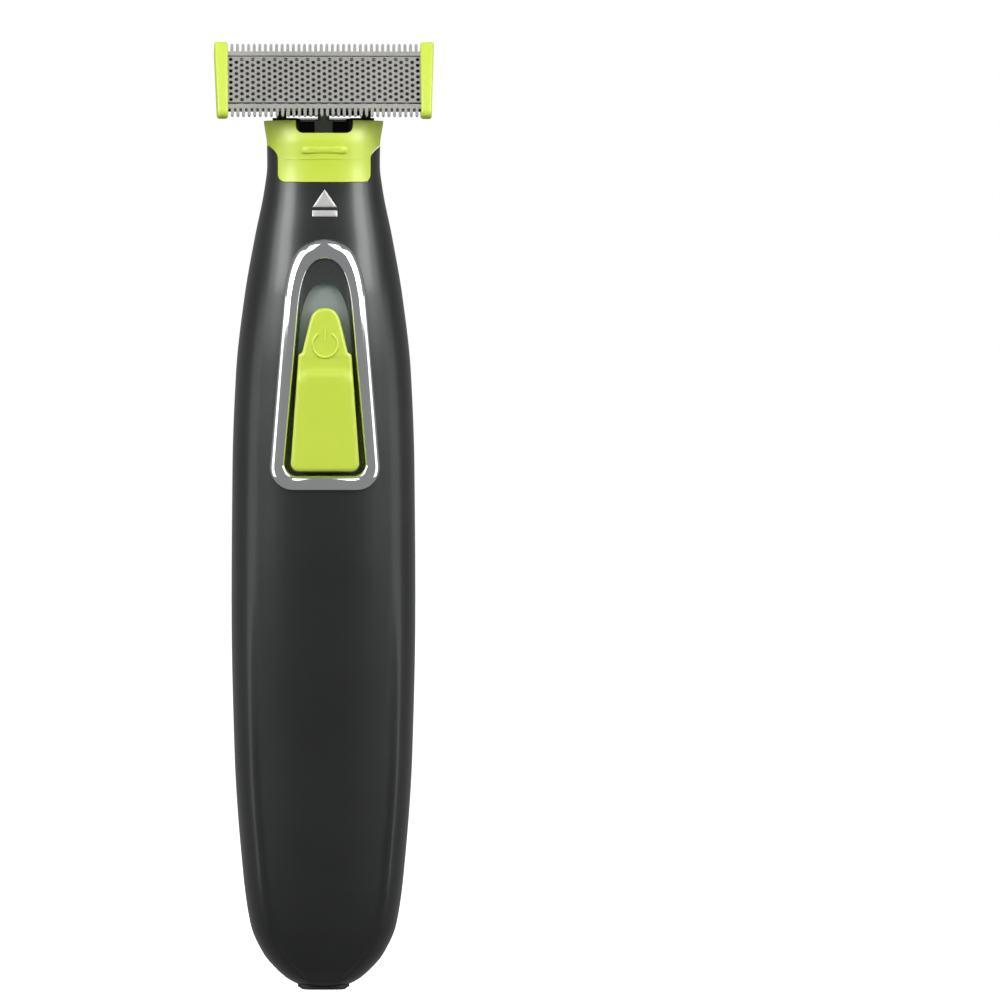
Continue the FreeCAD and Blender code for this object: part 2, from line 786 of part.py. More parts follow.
def make_tray():
    """The battery tray: two side walls and two ends, with flanges that screw to the front shell."""
    block = box("TrayBlock", ("-tray_half", "tray_half"), (FLANGE[0], "cell_y + cell_radius - tray_open"),
                ("cell_bottom - contact_thick - tray_end", "cell_top + contact_thick + tray_end"))
    room = cylinder("TrayRoom", "cell_radius + fit*2", "cell_length + 2*contact_thick",
                    ("0", "cell_y", "cell_bottom - contact_thick"))
    wings, holes = screw_wings("Tray", "tray_side", TRAY_LEVELS)
    node(cut("BatteryTray", fuse("TrayWhole", block, *wings), room, *holes), "battery_tray")


def make_motor_mount():
    """The cradle that holds the motor and screws to the front shell."""
    block = box("MountBlock", ("-mount_half", "mount_half"), (FLANGE[0], "motor_radius + mount_open"),
                ("motor_bottom", "motor_top - motor_boss"))
    room = cylinder("MountRoom", "motor_radius + fit", "motor_length*2",
                    ("0", "0", "motor_bottom - motor_length/2"))
    wings, holes = screw_wings("Mount", "mount_half", MOUNT_LEVELS)
    node(cut("MotorMount", fuse("MountWhole", block, *wings), room, *holes), "motor_mount")


def make_screws():
    """Eight identical screws that hold the tray and the motor cradle to the front shell."""
    screws = []
    top = -size("flange_set")
    reach = value("flange_thick + screw_length - 2*gap")
    radius = size("screw_head")
    slot_size = size("screw_slot")
    for x, z in boss_spots():
        shank = Part.makeCylinder(size("screw_radius"), reach, Vector(x, top, z), Vector(0, -1, 0))
        head = Part.makeCylinder(radius, size("screw_head_thick"), Vector(x, top, z), Vector(0, 1, 0))
        corner = Vector(x - radius, top + size("screw_head_thick") - slot_size, z - slot_size / 2)
        slot = Part.makeBox(2 * radius, slot_size, slot_size, corner)
        screws.append(shank.fuse(head).removeSplitter().cut(slot))
    node(feature("ChassisScrews", Part.makeCompound(screws)), "chassis_screws")


def make_contacts():
    """The two contact plates that press on the cell's ends."""
    for label, low in (("battery_contact_bottom", "cell_bottom - contact_thick"),
                       ("battery_contact_top", "cell_top")):
        name = label.title().replace("_", "")
        plate = cylinder(name, "cell_button*1.5", "contact_thick", ("0", "cell_y", low))
        node(plate, label)


def make_socket():
    """The charging socket at the base, open downwards, and its two contact pins."""
    wall = size("socket_wall") - size("fit")
    block = stadium(size("socket_half") + wall, size("socket_depth_half") + wall, -1, size("socket_length"))
    block = block.common(handle_form())
    mouth = stadium(size("socket_half"), size("socket_depth_half"), -1, size("socket_depth"))
    tails = []
    pins = []
    for side in (-1, 1):
        x = side * size("charge_pin_pitch") / 2
        low = size("socket_depth") - size("charge_pin_length")
        radius = size("charge_pin_radius")
        shank = Part.makeCylinder(radius, size("charge_pin_length") - radius, Vector(x, 0, low + radius))
        tip = Part.makeSphere(radius, Vector(x, 0, low + radius))
        tail = Part.makeCylinder(size("charge_pin_root"), value("socket_length + socket_tail - socket_depth"),
                                 Vector(x, 0, size("socket_depth")))
        pins.append(shank.fuse([tip, tail]).removeSplitter())
        tails.append(tail)
    node(feature("ChargeSocket", block.cut([mouth] + tails)), "charge_socket")
    node(feature("ChargePins", Part.makeCompound(pins)), "charge_pins")


# ---------------------------------------------------------------- drive

def make_motor():
    """The motor can, with a bearing boss on top and the bore that its shaft runs in."""
    can = cylinder("MotorCanBody", "motor_radius", "motor_length", ("0", "0", "motor_bottom"))
    boss = cylinder("MotorBoss", "shaft_radius*2.6", "motor_boss", ("0", "0", "motor_top"))
    bore = cylinder("MotorBore", "shaft_radius + shaft_clearance", "motor_length",
                    ("0", "0", "motor_bottom + shaft_set - motor_boss/2"))
    node(cut("MotorCan", fuse("MotorOuter", can, boss), bore), "motor_can")


def make_shaft():
    """The motor's shaft and, on its end, the cam whose peg stands off centre."""
    shaft = cylinder("MotorShaft", "shaft_radius", "cam_bottom - motor_bottom - shaft_set",
                     ("0", "0", "motor_bottom + shaft_set"))
    node(shaft, "motor_shaft")
    cam = cylinder("CamDisc", "cam_radius", "cam_length", ("0", "0", "cam_bottom"))
    peg = cylinder("CamPeg", "cam_pin_radius", "cam_pin_length", ("cam_offset", "0", "peg_bottom"))
    node(fuse("EccentricCam", cam, peg), "eccentric_cam")


def make_rocker():
    """The lever between cam and cutter: a fork below, a bored hub, an arm and a round drive pin on top."""
    fork_low = "peg_bottom + fork_clearance"
    fork_high = "peg_bottom + cam_pin_length + fork_clearance"
    outer = "(fork_gap/2 + fork_wall)"
    lever = body("DriveRocker")
    outline = sketch_on(lever, "RockerOutline", "XZ")
    shoulder = f"{fork_high} + fork_wall"
    hub_low = f"{shoulder} + fork_wall"
    hub_high = "rocker_pivot + hub_reach"
    arm_top = "collar_top"
    polygon(outline, [
        (f"-{outer}", fork_low), ("-fork_gap/2", fork_low), ("-fork_gap/2", fork_high),
        ("fork_gap/2", fork_high), ("fork_gap/2", fork_low), (outer, fork_low), (outer, shoulder),
        ("hub_half", hub_low), ("rocker_half", hub_high), ("rocker_half", arm_top),
        ("-rocker_half", arm_top), ("-rocker_half", hub_high), ("-hub_half", hub_low),
        (f"-{outer}", shoulder),
    ])
    pad(lever, outline, "rocker_thick", True)
    doc.recompute()
    bore = sketch_on(lever, "RockerBore", "XZ")
    circle(bore, "0", "rocker_pivot", "rocker_pin_radius + rocker_bore_clearance")
    pocket(lever, bore, "rocker_thick*2", True)
    doc.recompute()
    tip = sketch_on(lever, "RockerTip", "XY", arm_top)
    circle(tip, "0", "0", "drive_pin_radius")
    pad(lever, tip, f"rocker_tip - {arm_top}")
    node(lever, "drive_rocker")
    pin = cylinder("RockerPin", "rocker_pin_radius", "2*stub_depth_half",
                   ("0", "-stub_depth_half", "rocker_pivot"), "y")
    node(pin, "rocker_pin")


# ---------------------------------------------------------------- neck and release collar

def make_bulkhead():
    """Closes the handle's neck inside and carries the stub that the head pushes onto."""
    top = size("bulkhead_top")
    plate = handle_form(-size("wall") - size("fit")).common(slab("z", top - size("bulkhead_thick"), top))
    stub = Part.makeBox(2 * size("stub_half"), 2 * size("stub_depth_half"), value("stub_height + stub_root"),
                        Vector(-size("stub_half"), -size("stub_depth_half"), top - size("stub_root")))
    fork_half = size("fork_gap") / 2 + size("fork_wall") + size("cam_offset") + size("gap")
    slot_depth = size("rocker_thick") / 2 + size("gap")
    slot = Part.makeBox(2 * fork_half, 2 * slot_depth, FAR, Vector(-fork_half, -slot_depth, top - FAR / 2))
    pin_end = Vector(0, -FAR / 2, size("rocker_pivot"))
    pin = Part.makeCylinder(size("rocker_pin_radius"), FAR, pin_end, Vector(0, 1, 0))
    whole = plate.fuse(stub).removeSplitter().cut([slot, pin])
    node(feature("NeckBulkhead", whole), "neck_bulkhead")


def make_neck_seal():
    """A soft flat ring round the foot of the stub."""
    faces = []
    for grow, radius in (("seal_width", "seal_width"), ("gap", "stub_root")):
        across = value(f"stub_half + {grow}")
        deep = value(f"stub_depth_half + {grow}")
        faces.append(Part.Face(rounded_rectangle(-across, across, -deep, deep, size(radius))))
    ring = faces[0].cut(faces[1])
    ring.translate(Vector(0, 0, size("bulkhead_top")))
    node(feature("NeckSeal", ring.extrude(Vector(0, 0, size("seal_thick")))), "neck_seal")


def make_latches():
    """Two thin spring leaves on the stub's sides that grip the collar."""
    leaves = []
    low = value("bulkhead_top + latch_foot")
    height = value("stub_height - latch_foot - latch_drop")
    for left in (size("stub_half"), -value("stub_half + latch_thick")):
        corner = Vector(left, -size("latch_width") / 2, low)
        leaves.append(Part.makeBox(size("latch_thick"), size("latch_width"), height, corner))
    node(feature("LatchSprings", Part.makeCompound(leaves)), "latch_springs")


def collar_room():
    """The hollow in the collar that passes over the stub and its spring leaves."""
    half = size("stub_half") + size("latch_thick") + size("gap")
    deep = size("stub_depth_half") + size("gap")
    return Part.makeBox(2 * half, 2 * deep, FAR, Vector(-half, -deep, size("collar_bottom") - FAR / 2))


def yoke_level():
    """Where the dark yoke starts inside the collar."""
    return value("bulkhead_top + stub_height + 2*gap")


def make_collar():
    """The bright release collar: a tab at the front and back, shoulders, and a window at the top."""
    outer = handle_form()
    space = prism(collar_outline()).common(slab("z", 0, size("collar_top")))
    collar = outer.common(space).cut(collar_room())
    inner = handle_form(-size("collar_wall")).common(slab("z", yoke_level(), 4 * FAR))
    collar = collar.cut(inner)
    half = size("collar_window_half")
    corner = Vector(-half, -FAR, value("collar_top - collar_window_drop"))
    window = Part.makeBox(2 * half, FAR, FAR, corner)
    collar = collar.cut(window)
    bar_half = size("collar_bar_half")
    corner = Vector(-bar_half, -FAR, value("collar_shoulder + collar_bar_rise"))
    bar = Part.makeBox(2 * bar_half, FAR, size("collar_bar_height"), corner)
    collar = collar.fuse(handle_form(2 * size("gap")).common(bar).cut(handle_form(-size("gap"))))
    node(feature("ReleaseCollar", collar.removeSplitter()), "release_collar")


def head_point(up, back):
    """A point of the tilting head's own frame, as y and z of the groomer."""
    lean = math.radians(size("head_lean"))
    y = size("head_y") + up * math.sin(lean) + back * math.cos(lean)
    z = size("head_z") + up * math.cos(lean) - back * math.sin(lean)
    return y, z


def pivot_point():
    return head_point(-size("pivot_drop"), size("pivot_back"))


def make_yoke():
    """The dark plug in the collar's top: two ears for the head's pivot pins, and a low apron behind."""
    inside = handle_form(-size("collar_wall") - size("fit"))
    plug_top = size("collar_top") - size("gap")
    plug = inside.common(slab("z", yoke_level() + size("fit"), plug_top + size("apron_height")))
    front_step = Part.makeBox(2 * FAR, FAR, FAR, Vector(-FAR, size("apron_front") - FAR, plug_top))
    hood_half = size("lug_inner") + size("fit")
    hood_step = Part.makeBox(2 * hood_half, FAR, FAR, Vector(-hood_half, size("apron_back") - FAR, plug_top))
    pivot_y, pivot_z = pivot_point()
    along = Vector(1, 0, 0)
    ear_width = size("ear_outer") - size("ear_inner")
    reach = size("ear_radius")
    ears = []
    for left in (size("ear_inner"), -size("ear_outer")):
        root = Vector(left, pivot_y - reach, plug_top - size("fork_wall"))
        foot = Part.makeBox(ear_width, 2 * reach, pivot_z - root.z, root)
        crown = Part.makeCylinder(reach, ear_width, Vector(left, pivot_y, pivot_z), along)
        ears.append(foot.fuse(crown))
    well_half = size("lug_inner") - 2 * size("fit")
    floor = value("fit + yoke_floor") + yoke_level()
    well = Part.makeBox(2 * well_half, FAR, FAR, Vector(-well_half, size("apron_back") - FAR, floor))
    half = value("rocker_half + rocker_room")
    deep = value("rocker_thick/2 + 2*gap")
    slot = Part.makeBox(2 * half, 2 * deep, FAR, Vector(-half, -deep, floor - FAR / 2))
    pin = Part.makeCylinder(size("pivot_pin_radius"), FAR, Vector(-FAR / 2, pivot_y, pivot_z), along)
    sweep_half = size("ear_inner") - size("ear_clearance")
    sweep = Part.makeCylinder(value("lug_radius + lug_clearance"), 2 * sweep_half,
                              Vector(-sweep_half, pivot_y, pivot_z), along)
    yoke = plug.cut([front_step, hood_step, well, slot]).fuse(ears).cut([pin, sweep])
    node(feature("HeadYoke", yoke), "head_yoke")


def make_pivots():
    """Two pins that reach from the yoke's ears into the head's lugs."""
    pivot_y, pivot_z = pivot_point()
    length = value("ear_outer - lug_inner - 2*gap")
    radius = size("pivot_pin_radius")
    pins = []
    for left in (size("ear_outer") - length, -size("ear_outer")):
        pins.append(Part.makeCylinder(radius, length, Vector(left, pivot_y, pivot_z), Vector(1, 0, 0)))
    node(feature("PivotPins", Part.makeCompound(pins)), "pivot_pins")


# ---------------------------------------------------------------- tilting head

def head_placement():
    """Carries the head's own frame, plate upright and facing -Y, to its lean on the handle."""
    lean = Rotation(Vector(1, 0, 0), -size("head_lean"))
    return Placement(Vector(0, size("head_y"), size("head_z")), lean)


def on_head(item, label):
    item.Placement = head_placement()
    return node(item, label)


def make_carrier():
    """The dark tray behind the blades, with a window for the driver and two lugs for the pivot pins."""
    high = value("comb_bar_high + carrier_margin")
    back = size("carrier_back")
    wall = size("carrier_wall")
    front = size("cutter_front") + size("cutter_thick") + size("gap")
    half = size("head_half")
    low = -size("comb_bar_high")
    corners = ((front, low), (back, low + size("carrier_chamfer")), (back, high), (front, high))
    rim = Part.makePolygon([Vector(-half, y, z) for y, z in corners + corners[:1]])
    block = Part.Face(rim).extrude(Vector(2 * half, 0, 0))
    room_low = low + size("carrier_chamfer") + 2 * size("gap")
    room = Part.makeBox(2 * (half - wall), back - front - wall, high - wall - room_low,
                        Vector(-half + wall, front, room_low))
    reach = value("driver_half + cutter_stroke + lug_clearance")
    window_low = -value("driver_low + driver_room")
    window_height = value("driver_high + gap") - window_low
    window = Part.makeBox(2 * reach, FAR, window_height, Vector(-reach, 0, window_low))
    width = size("lug_outer") - size("lug_inner")
    radius = size("lug_radius")
    root = back - size("gap")
    lugs = []
    for left in (size("lug_inner"), -size("lug_outer")):
        centre = Vector(left, size("pivot_back"), -size("pivot_drop"))
        eye = Part.makeCylinder(radius, width, centre, Vector(1, 0, 0))
        web = Part.makeBox(width, centre.y - root, 2 * radius, Vector(left, root, centre.z - radius))
        lugs += [eye, web]
    bore = Part.makeCylinder(size("pivot_pin_radius") + size("pivot_clearance"), FAR,
                             Vector(-FAR / 2, size("pivot_back"), -size("pivot_drop")), Vector(1, 0, 0))
    carrier = block.cut(room).fuse(lugs).cut([window, bore]).removeSplitter()
    on_head(feature("BladeCarrier", carrier), "blade_carrier")


def make_cap(label, side):
    """One bright end cap: a thick cheek, tapered towards the bottom and rounded at its corners."""
    cap = body(label.title().replace("_", ""))
    outline = sketch_on(cap, label + "_outline", "YZ")
    polygon(outline, [
        ("-cap_proud", "-head_height_half"), ("carrier_back", "-head_height_half + cap_taper"),
        ("carrier_back", "head_height_half"), ("-cap_proud", "head_height_half"),
    ])
    cheek = pad(cap, outline, "cap_thick")
    doc.recompute()
    edges = []
    for index, edge in enumerate(cap.Shape.Edges, start=1):
        if edge.BoundBox.XMin > size("cap_thick") / 2:
            edges.append(f"Edge{index}")
    rounding = cap.newObject("PartDesign::Fillet", label + "_rounding")
    rounding.Base = (cheek, edges)
    rounding.setExpression("Radius", bound("cap_round"))
    doc.recompute()
    cap.Placement = head_placement().multiply(Placement(Vector(size("head_half"), 0, 0), Rotation()))
    if side > 0:
        return node(cap, label)
    mirror = doc.addObject("Part::Mirroring", label.title().replace("_", "") + "Mirror")
    mirror.Source = cap
    mirror.Normal = Vector(1, 0, 0)
    return node(mirror, label)


def make_foil():
    """The perforated plate between the combs: staggered round holes."""
    half = size("head_half")
    high = size("foil_half_height")
    plate = Part.makeBox(2 * half, size("foil_thick"), 2 * high, Vector(-half, 0, -high))
    pitch = size("hole_pitch")
    step = pitch * 2 / math.sqrt(3)
    radius = size("hole_radius")
    edge = value("hole_radius + hole_margin")
    columns = int((half - edge) / pitch)
    rows = int(high / step) + 1
    drills = []
    for column in range(-columns, columns + 1):
        shift = step / 2 if column % 2 else 0.0
        for row in range(-rows, rows + 1):
            z = row * step + shift
            if abs(z) + edge < high:
                drills.append(Part.makeCylinder(radius, 2, Vector(column * pitch, -1, z), Vector(0, 1, 0)))
    on_head(feature("FoilPlate", plate.cut(Part.makeCompound(drills))), "foil_plate")


def tooth_count(reach):
    return int(2 * (reach - size("tooth_width") / 2) / size("tooth_pitch")) + 1


def toothed_strip(name, front, thick, reach, low, high, tip):
    """A flat strip with a row of teeth along its top edge, pointing up."""
    strip = body(name)
    bar = sketch_on(strip, name + "_bar", "XZ", f"-({front}) - ({thick})")
    rectangle(bar, f"-({reach})", reach, low, high)
    pad(strip, bar, thick)
    doc.recompute()
    count = tooth_count(value(reach))
    tooth = sketch_on(strip, name + "_tooth", "XZ", f"-({front}) - ({thick})")
    start = f"-tooth_pitch*{(count - 1) / 2}"
    left, right = f"{start} - tooth_width/2", f"{start} + tooth_width/2"
    root, bevel = f"{high} - comb_set", f"{tip} - tooth_tip"
    polygon(tooth, [(left, root), (right, root), (right, bevel), (f"{start} + tooth_width/4", tip),
                    (f"{start} - tooth_width/4", tip), (left, bevel)])
    one = pad(strip, tooth, thick)
    doc.recompute()
    repeat(strip, one, tooth, "H_Axis", f"tooth_pitch*{count - 1}", count)
    return strip


def make_combs():
    """The two guard combs along the blade's edges."""
    shape = ("comb_set", "comb_thick", "head_half", "comb_bar_low", "comb_bar_high", "comb_tip")
    on_head(toothed_strip("UpperComb", *shape), "upper_comb")
    lower = toothed_strip("LowerComb", *shape)
    lower.Placement = head_placement().multiply(Placement(Vector(0, 0, 0), Rotation(Vector(0, 1, 0), 180)))
    node(lower, "lower_comb")


def make_cutter():
    """The moving blade behind foil and combs, toothed along both edges, and the driver on its back."""
    reach = "head_half - cutter_stroke - gap"
    half = toothed_strip("CutterHalf", "cutter_front", "cutter_thick", reach, "0", "comb_bar_high",
                         "comb_tip - cutter_short")
    doc.recompute()
    upper = half.Shape.copy()
    lower = upper.copy()
    lower.rotate(Vector(), Vector(0, 1, 0), 180)
    on_head(feature("MovingCutter", upper.fuse(lower).removeSplitter()), "moving_cutter")
    driver = body("CutterDriver")
    front = "cutter_front + cutter_thick"
    outline = sketch_on(driver, "DriverOutline", "YZ")
    polygon(outline, [(front, "-driver_low"), ("driver_back", "-driver_low"), ("driver_back", "driver_high"),
                      (front, "driver_high")])
    pad(driver, outline, "2*driver_half", True)
    doc.recompute()
    slot = sketch_on(driver, "DriverSlot", "XY", "-driver_low - fit")
    half = "drive_pin_radius + gap"
    rectangle(slot, f"-({half})", half, "driver_back - driver_slot", "driver_back*2")
    slot_cut = pocket(driver, slot, "driver_slot")
    slot_cut.Reversed = True
    doc.recompute()
    on_head(driver, "cutter_driver")


def make_hood():
    """The rounded dark hood over the driver on the carrier's back, open below for the drive pin."""
    inner_half = "(driver_half + cutter_stroke + gap)"
    low = "-driver_low + 2*gap"
    high = "driver_high + gap"
    back = "driver_back + gap"
    outer_back, outer_high = f"{back} + hood_wall", f"{high} + hood_wall"
    hood = body("DriverHood")
    outline = sketch_on(hood, "HoodOutline", "YZ")
    polygon(outline, [("carrier_back", low), (outer_back, low), (outer_back, f"{high} - hood_slope"),
                      (f"{back} - hood_slope", outer_high), ("carrier_back", outer_high)])
    pad(hood, outline, f"2*({inner_half} + hood_wall)", True)
    doc.recompute()
    room = sketch_on(hood, "HoodRoom", "YZ")
    rectangle(room, "carrier_back - 1", back, "-driver_low - 1", high)
    pocket(hood, room, f"2*{inner_half}", True)
    on_head(hood, "driver_hood")


def make_cutter_springs():
    """Two bent leaf springs that press the moving blade against the combs."""
    springs = []
    floor = size("carrier_back") - size("carrier_wall")
    crest = value("cutter_front + cutter_thick + gap")
    thick = size("spring_thick")
    half = size("spring_half")
    for side in (-1, 1):
        start = side * size("spring_start")
        end = side * size("spring_end")
        foot = floor - thick / 2
        arc = Part.Arc(Vector(start, foot, 0), Vector((start + end) / 2, crest, 0), Vector(end, foot, 0))
        corners = ((floor - thick, -half), (floor, -half), (floor, half), (floor - thick, half))
        profile = Part.makePolygon([Vector(start, y, z) for y, z in corners + corners[:1]])
        springs.append(Part.Wire(arc.toShape()).makePipeShell([profile], True, False))
    on_head(feature("CutterSprings", Part.makeCompound(springs)), "cutter_springs")


def make_tilt_spring():
    """The bent wire that brings the head back to its rest, held in the yoke."""
    pivot_y, pivot_z = pivot_point()
    half = value("lug_inner - 2*gap")
    end = Vector(-half, pivot_y + size("tilt_spring_back"), value("collar_top + 2*fit"))
    wire = Part.makeCylinder(size("tilt_spring_radius"), 2 * half, end, Vector(1, 0, 0))
    node(feature("TiltSpring", wire), "tilt_spring")


# ---------------------------------------------------------------- build, check and write

def check_and_write():
    doc.recompute()
    for item in doc.Objects:
        bad = [state for state in item.State if state in ("Invalid", "Error")]
        if bad:
            raise RuntimeError(f"{item.Name} failed: {item.State}")
    for item in NODES:
        if item.Shape.isNull() or not item.Shape.isValid() or item.Shape.Volume <= 0:
            raise RuntimeError(f"{item.Label} has no valid solid")
    os.makedirs("parts", exist_ok=True)
    for item in NODES:
        item.Shape.exportStep(os.path.join("parts", item.Label + ".step"))


def main():
    make_shells()
    make_gasket()
    make_eject_mark()
    make_bezel()
    make_surround()
    make_track()
    make_slider()
    make_power_mark()
    make_carriage()
    make_board()
    make_switch()
    make_battery()
    make_tray()
    make_motor_mount()
    make_screws()
    make_contacts()
    make_socket()
    make_motor()
    make_shaft()
    make_rocker()
    make_bulkhead()
    make_neck_seal()
    make_latches()
    make_collar()
    make_yoke()
    make_pivots()
    make_carrier()
    make_cap("right_cap", 1)
    make_cap("left_cap", -1)
    make_foil()
    make_combs()
    make_cutter()
    make_hood()
    make_cutter_springs()
    make_tilt_spring()
    check_and_write()


main()
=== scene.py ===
import json
import math

import bmesh
import bpy
from mathutils import Matrix, Vector


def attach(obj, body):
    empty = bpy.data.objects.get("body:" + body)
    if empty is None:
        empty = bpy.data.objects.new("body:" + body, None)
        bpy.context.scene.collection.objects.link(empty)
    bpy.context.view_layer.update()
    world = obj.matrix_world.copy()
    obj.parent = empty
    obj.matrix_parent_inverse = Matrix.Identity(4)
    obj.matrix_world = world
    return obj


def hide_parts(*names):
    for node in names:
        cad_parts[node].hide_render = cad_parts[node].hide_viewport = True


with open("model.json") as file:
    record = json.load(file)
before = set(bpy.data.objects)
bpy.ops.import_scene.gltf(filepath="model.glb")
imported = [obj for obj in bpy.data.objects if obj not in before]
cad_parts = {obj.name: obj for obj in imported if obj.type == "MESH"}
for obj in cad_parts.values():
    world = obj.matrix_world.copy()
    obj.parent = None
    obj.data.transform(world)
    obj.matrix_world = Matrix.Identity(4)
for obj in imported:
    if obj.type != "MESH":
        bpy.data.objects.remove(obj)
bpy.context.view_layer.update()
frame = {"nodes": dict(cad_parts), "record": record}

MM = 0.001


# ---------------------------------------------------------------- small helpers

def link(name, mesh):
    """A new object for a mesh, in the scene."""
    item = bpy.data.objects.new(name, mesh)
    bpy.context.scene.collection.objects.link(item)
    return item


def mesh_piece(name, points, faces, smooth=True):
    """A piece from points in millimetres and faces."""
    mesh = bpy.data.meshes.new(name)
    mesh.from_pydata([Vector(p) * MM for p in points], [], faces)
    mesh.validate()
    mesh.update()
    solid = bmesh.new()
    solid.from_mesh(mesh)
    bmesh.ops.recalc_face_normals(solid, faces=solid.faces)
    solid.to_mesh(mesh)
    solid.free()
    mesh.polygons.foreach_set("use_smooth", [smooth] * len(mesh.polygons))
    return link(name, mesh)


def apply_modifiers(item):
    """Leaves the piece with the mesh that its modifiers make."""
    graph = bpy.context.evaluated_depsgraph_get()
    graph.update()
    made = bpy.data.meshes.new_from_object(item.evaluated_get(graph))
    item.modifiers.clear()
    item.data = made
    return item


def bevelled(item, width, segments=3, angle=30.0):
    """Rounds a piece's sharp edges by a width in millimetres, and shades it smooth."""
    step = item.modifiers.new("bevel", "BEVEL")
    step.width = width * MM
    step.segments = segments
    step.limit_method = "ANGLE"
    step.angle_limit = math.radians(angle)
    step.harden_normals = False
    apply_modifiers(item)
    item.data.polygons.foreach_set("use_smooth", [True] * len(item.data.polygons))
    item.data.set_sharp_from_angle(angle=math.radians(40))
    return item


def cut_away(item, tool, operation="DIFFERENCE"):
    """Boolean of a piece with a tool object, which is then removed."""
    step = item.modifiers.new("cut", "BOOLEAN")
    step.object = tool
    step.operation = operation
    step.solver = "EXACT"
    apply_modifiers(item)
    bpy.data.objects.remove(tool)
    return item


def finish_piece(item, material, body, slot, *nodes):
    """Gives a piece its finish and its body, and hides the CAD nodes it stands for."""
    item.data.materials.clear()
    item.data.materials.append(material)
    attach(item, body)
    if nodes:
        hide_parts(*nodes)
    return item


# ---------------------------------------------------------------- materials

def srgb(red, green, blue):
    """A linear colour from 0-255 screen values."""
    def linear(value):
        share = value / 255
        return share / 12.92 if share <= 0.04045 else ((share + 0.055) / 1.055) ** 2.4
    return (linear(red), linear(green), linear(blue), 1.0)


def new_material(name):
    """A new material with its node tree and its shader."""
    material = bpy.data.materials.new(name)
    material.use_nodes = True
    tree = material.node_tree
    shader = tree.nodes["Principled BSDF"]
    return material, tree, shader


def noise(tree, scale, detail=3.0, stretch=(1, 1, 1)):
    """Noise in the piece's own space, in waves per metre."""
    where = tree.nodes.new("ShaderNodeTexCoord")
    mapping = tree.nodes.new("ShaderNodeMapping")
    mapping.inputs["Scale"].default_value = stretch
    texture = tree.nodes.new("ShaderNodeTexNoise")
    texture.inputs["Scale"].default_value = scale
    texture.inputs["Detail"].default_value = detail
    tree.links.new(where.outputs["Object"], mapping.inputs["Vector"])
    tree.links.new(mapping.outputs["Vector"], texture.inputs["Vector"])
    return texture.outputs["Fac"]


def between(tree, factor, low, high):
    """Spreads a 0-1 factor over a range of numbers."""
    spread = tree.nodes.new("ShaderNodeMapRange")
    spread.inputs["From Min"].default_value = 0.3
    spread.inputs["From Max"].default_value = 0.7
    spread.inputs["To Min"].default_value = low
    spread.inputs["To Max"].default_value = high
    tree.links.new(factor, spread.inputs["Value"])
    return spread.outputs["Result"]


def tint(tree, factor, dark, light):
    """Mixes two colours by a factor."""
    ramp = tree.nodes.new("ShaderNodeValToRGB")
    ramp.color_ramp.elements[0].position = 0.3
    ramp.color_ramp.elements[1].position = 0.7
    ramp.color_ramp.elements[0].color = dark
    ramp.color_ramp.elements[1].color = light
    tree.links.new(factor, ramp.inputs["Fac"])
    return ramp.outputs["Color"]


def bump(tree, shader, height, strength, distance):
    """Tilts the shader's surface by a height, over a distance in metres."""
    node = tree.nodes.new("ShaderNodeBump")
    node.inputs["Strength"].default_value = strength
    node.inputs["Distance"].default_value = distance
    tree.links.new(height, node.inputs["Height"])
    tree.links.new(node.outputs["Normal"], shader.inputs["Normal"])


def moulded(name, dark, light, roughness, grain=9000.0, metallic=0.0, coat=0.0, bump_strength=0.12,
            stretch=(1, 1, 1), spread=0.05):
    """A moulded or painted surface: slight colour drift, fine grain in bump and roughness."""
    material, tree, shader = new_material(name)
    tree.links.new(tint(tree, noise(tree, 60.0), dark, light), shader.inputs["Base Color"])
    fine = noise(tree, grain, 2.0, stretch)
    tree.links.new(between(tree, fine, roughness - spread, roughness + spread), shader.inputs["Roughness"])
    bump(tree, shader, fine, bump_strength, 0.00002)
    shader.inputs["Metallic"].default_value = metallic
    shader.inputs["Coat Weight"].default_value = coat
    shader.inputs["Coat Roughness"].default_value = 0.18
    return material


DARK_SHELL = moulded("dark_shell", srgb(42, 44, 43), srgb(49, 51, 50), 0.36, metallic=0.55, coat=0.25,
                     bump_strength=0.06)
LIME = moulded("lime_plastic", srgb(206, 229, 64), srgb(214, 235, 78), 0.42, coat=0.15, bump_strength=0.08)
CHROME = moulded("chrome", srgb(225, 227, 229), srgb(236, 237, 238), 0.07, metallic=1.0, bump_strength=0.01,
                 spread=0.02)
SURROUND = moulded("surround_plastic", srgb(62, 66, 64), srgb(74, 79, 77), 0.3, metallic=0.3, coat=0.3)
GREY = moulded("grey_plastic", srgb(150, 160, 159), srgb(162, 171, 170), 0.4)
DARK = moulded("dark_plastic", srgb(28, 29, 30), srgb(36, 37, 38), 0.5, bump_strength=0.3)
SILVER = moulded("silver_mark", srgb(196, 196, 194), srgb(208, 208, 206), 0.38, metallic=0.5)
STEEL = moulded("blade_steel", srgb(160, 160, 156), srgb(180, 179, 175), 0.33, metallic=0.9, grain=4000.0,
                stretch=(1, 1, 12), bump_strength=0.2)
FOIL = moulded("foil_steel", srgb(150, 149, 145), srgb(164, 163, 159), 0.4, metallic=0.85, grain=6000.0)
SPRING = moulded("spring_steel", srgb(180, 180, 182), srgb(200, 200, 202), 0.25, metallic=1.0)
RUBBER = moulded("seal_rubber", srgb(24, 24, 24), srgb(34, 34, 34), 0.75, bump_strength=0.4)
CELL = moulded("cell_wrap", srgb(70, 130, 160), srgb(80, 142, 172), 0.28, coat=0.4)
BOARD = moulded("board_green", srgb(24, 92, 52), srgb(34, 108, 62), 0.35, coat=0.5)
BRASS = moulded("contact_brass", srgb(200, 160, 80), srgb(216, 180, 100), 0.25, metallic=1.0)
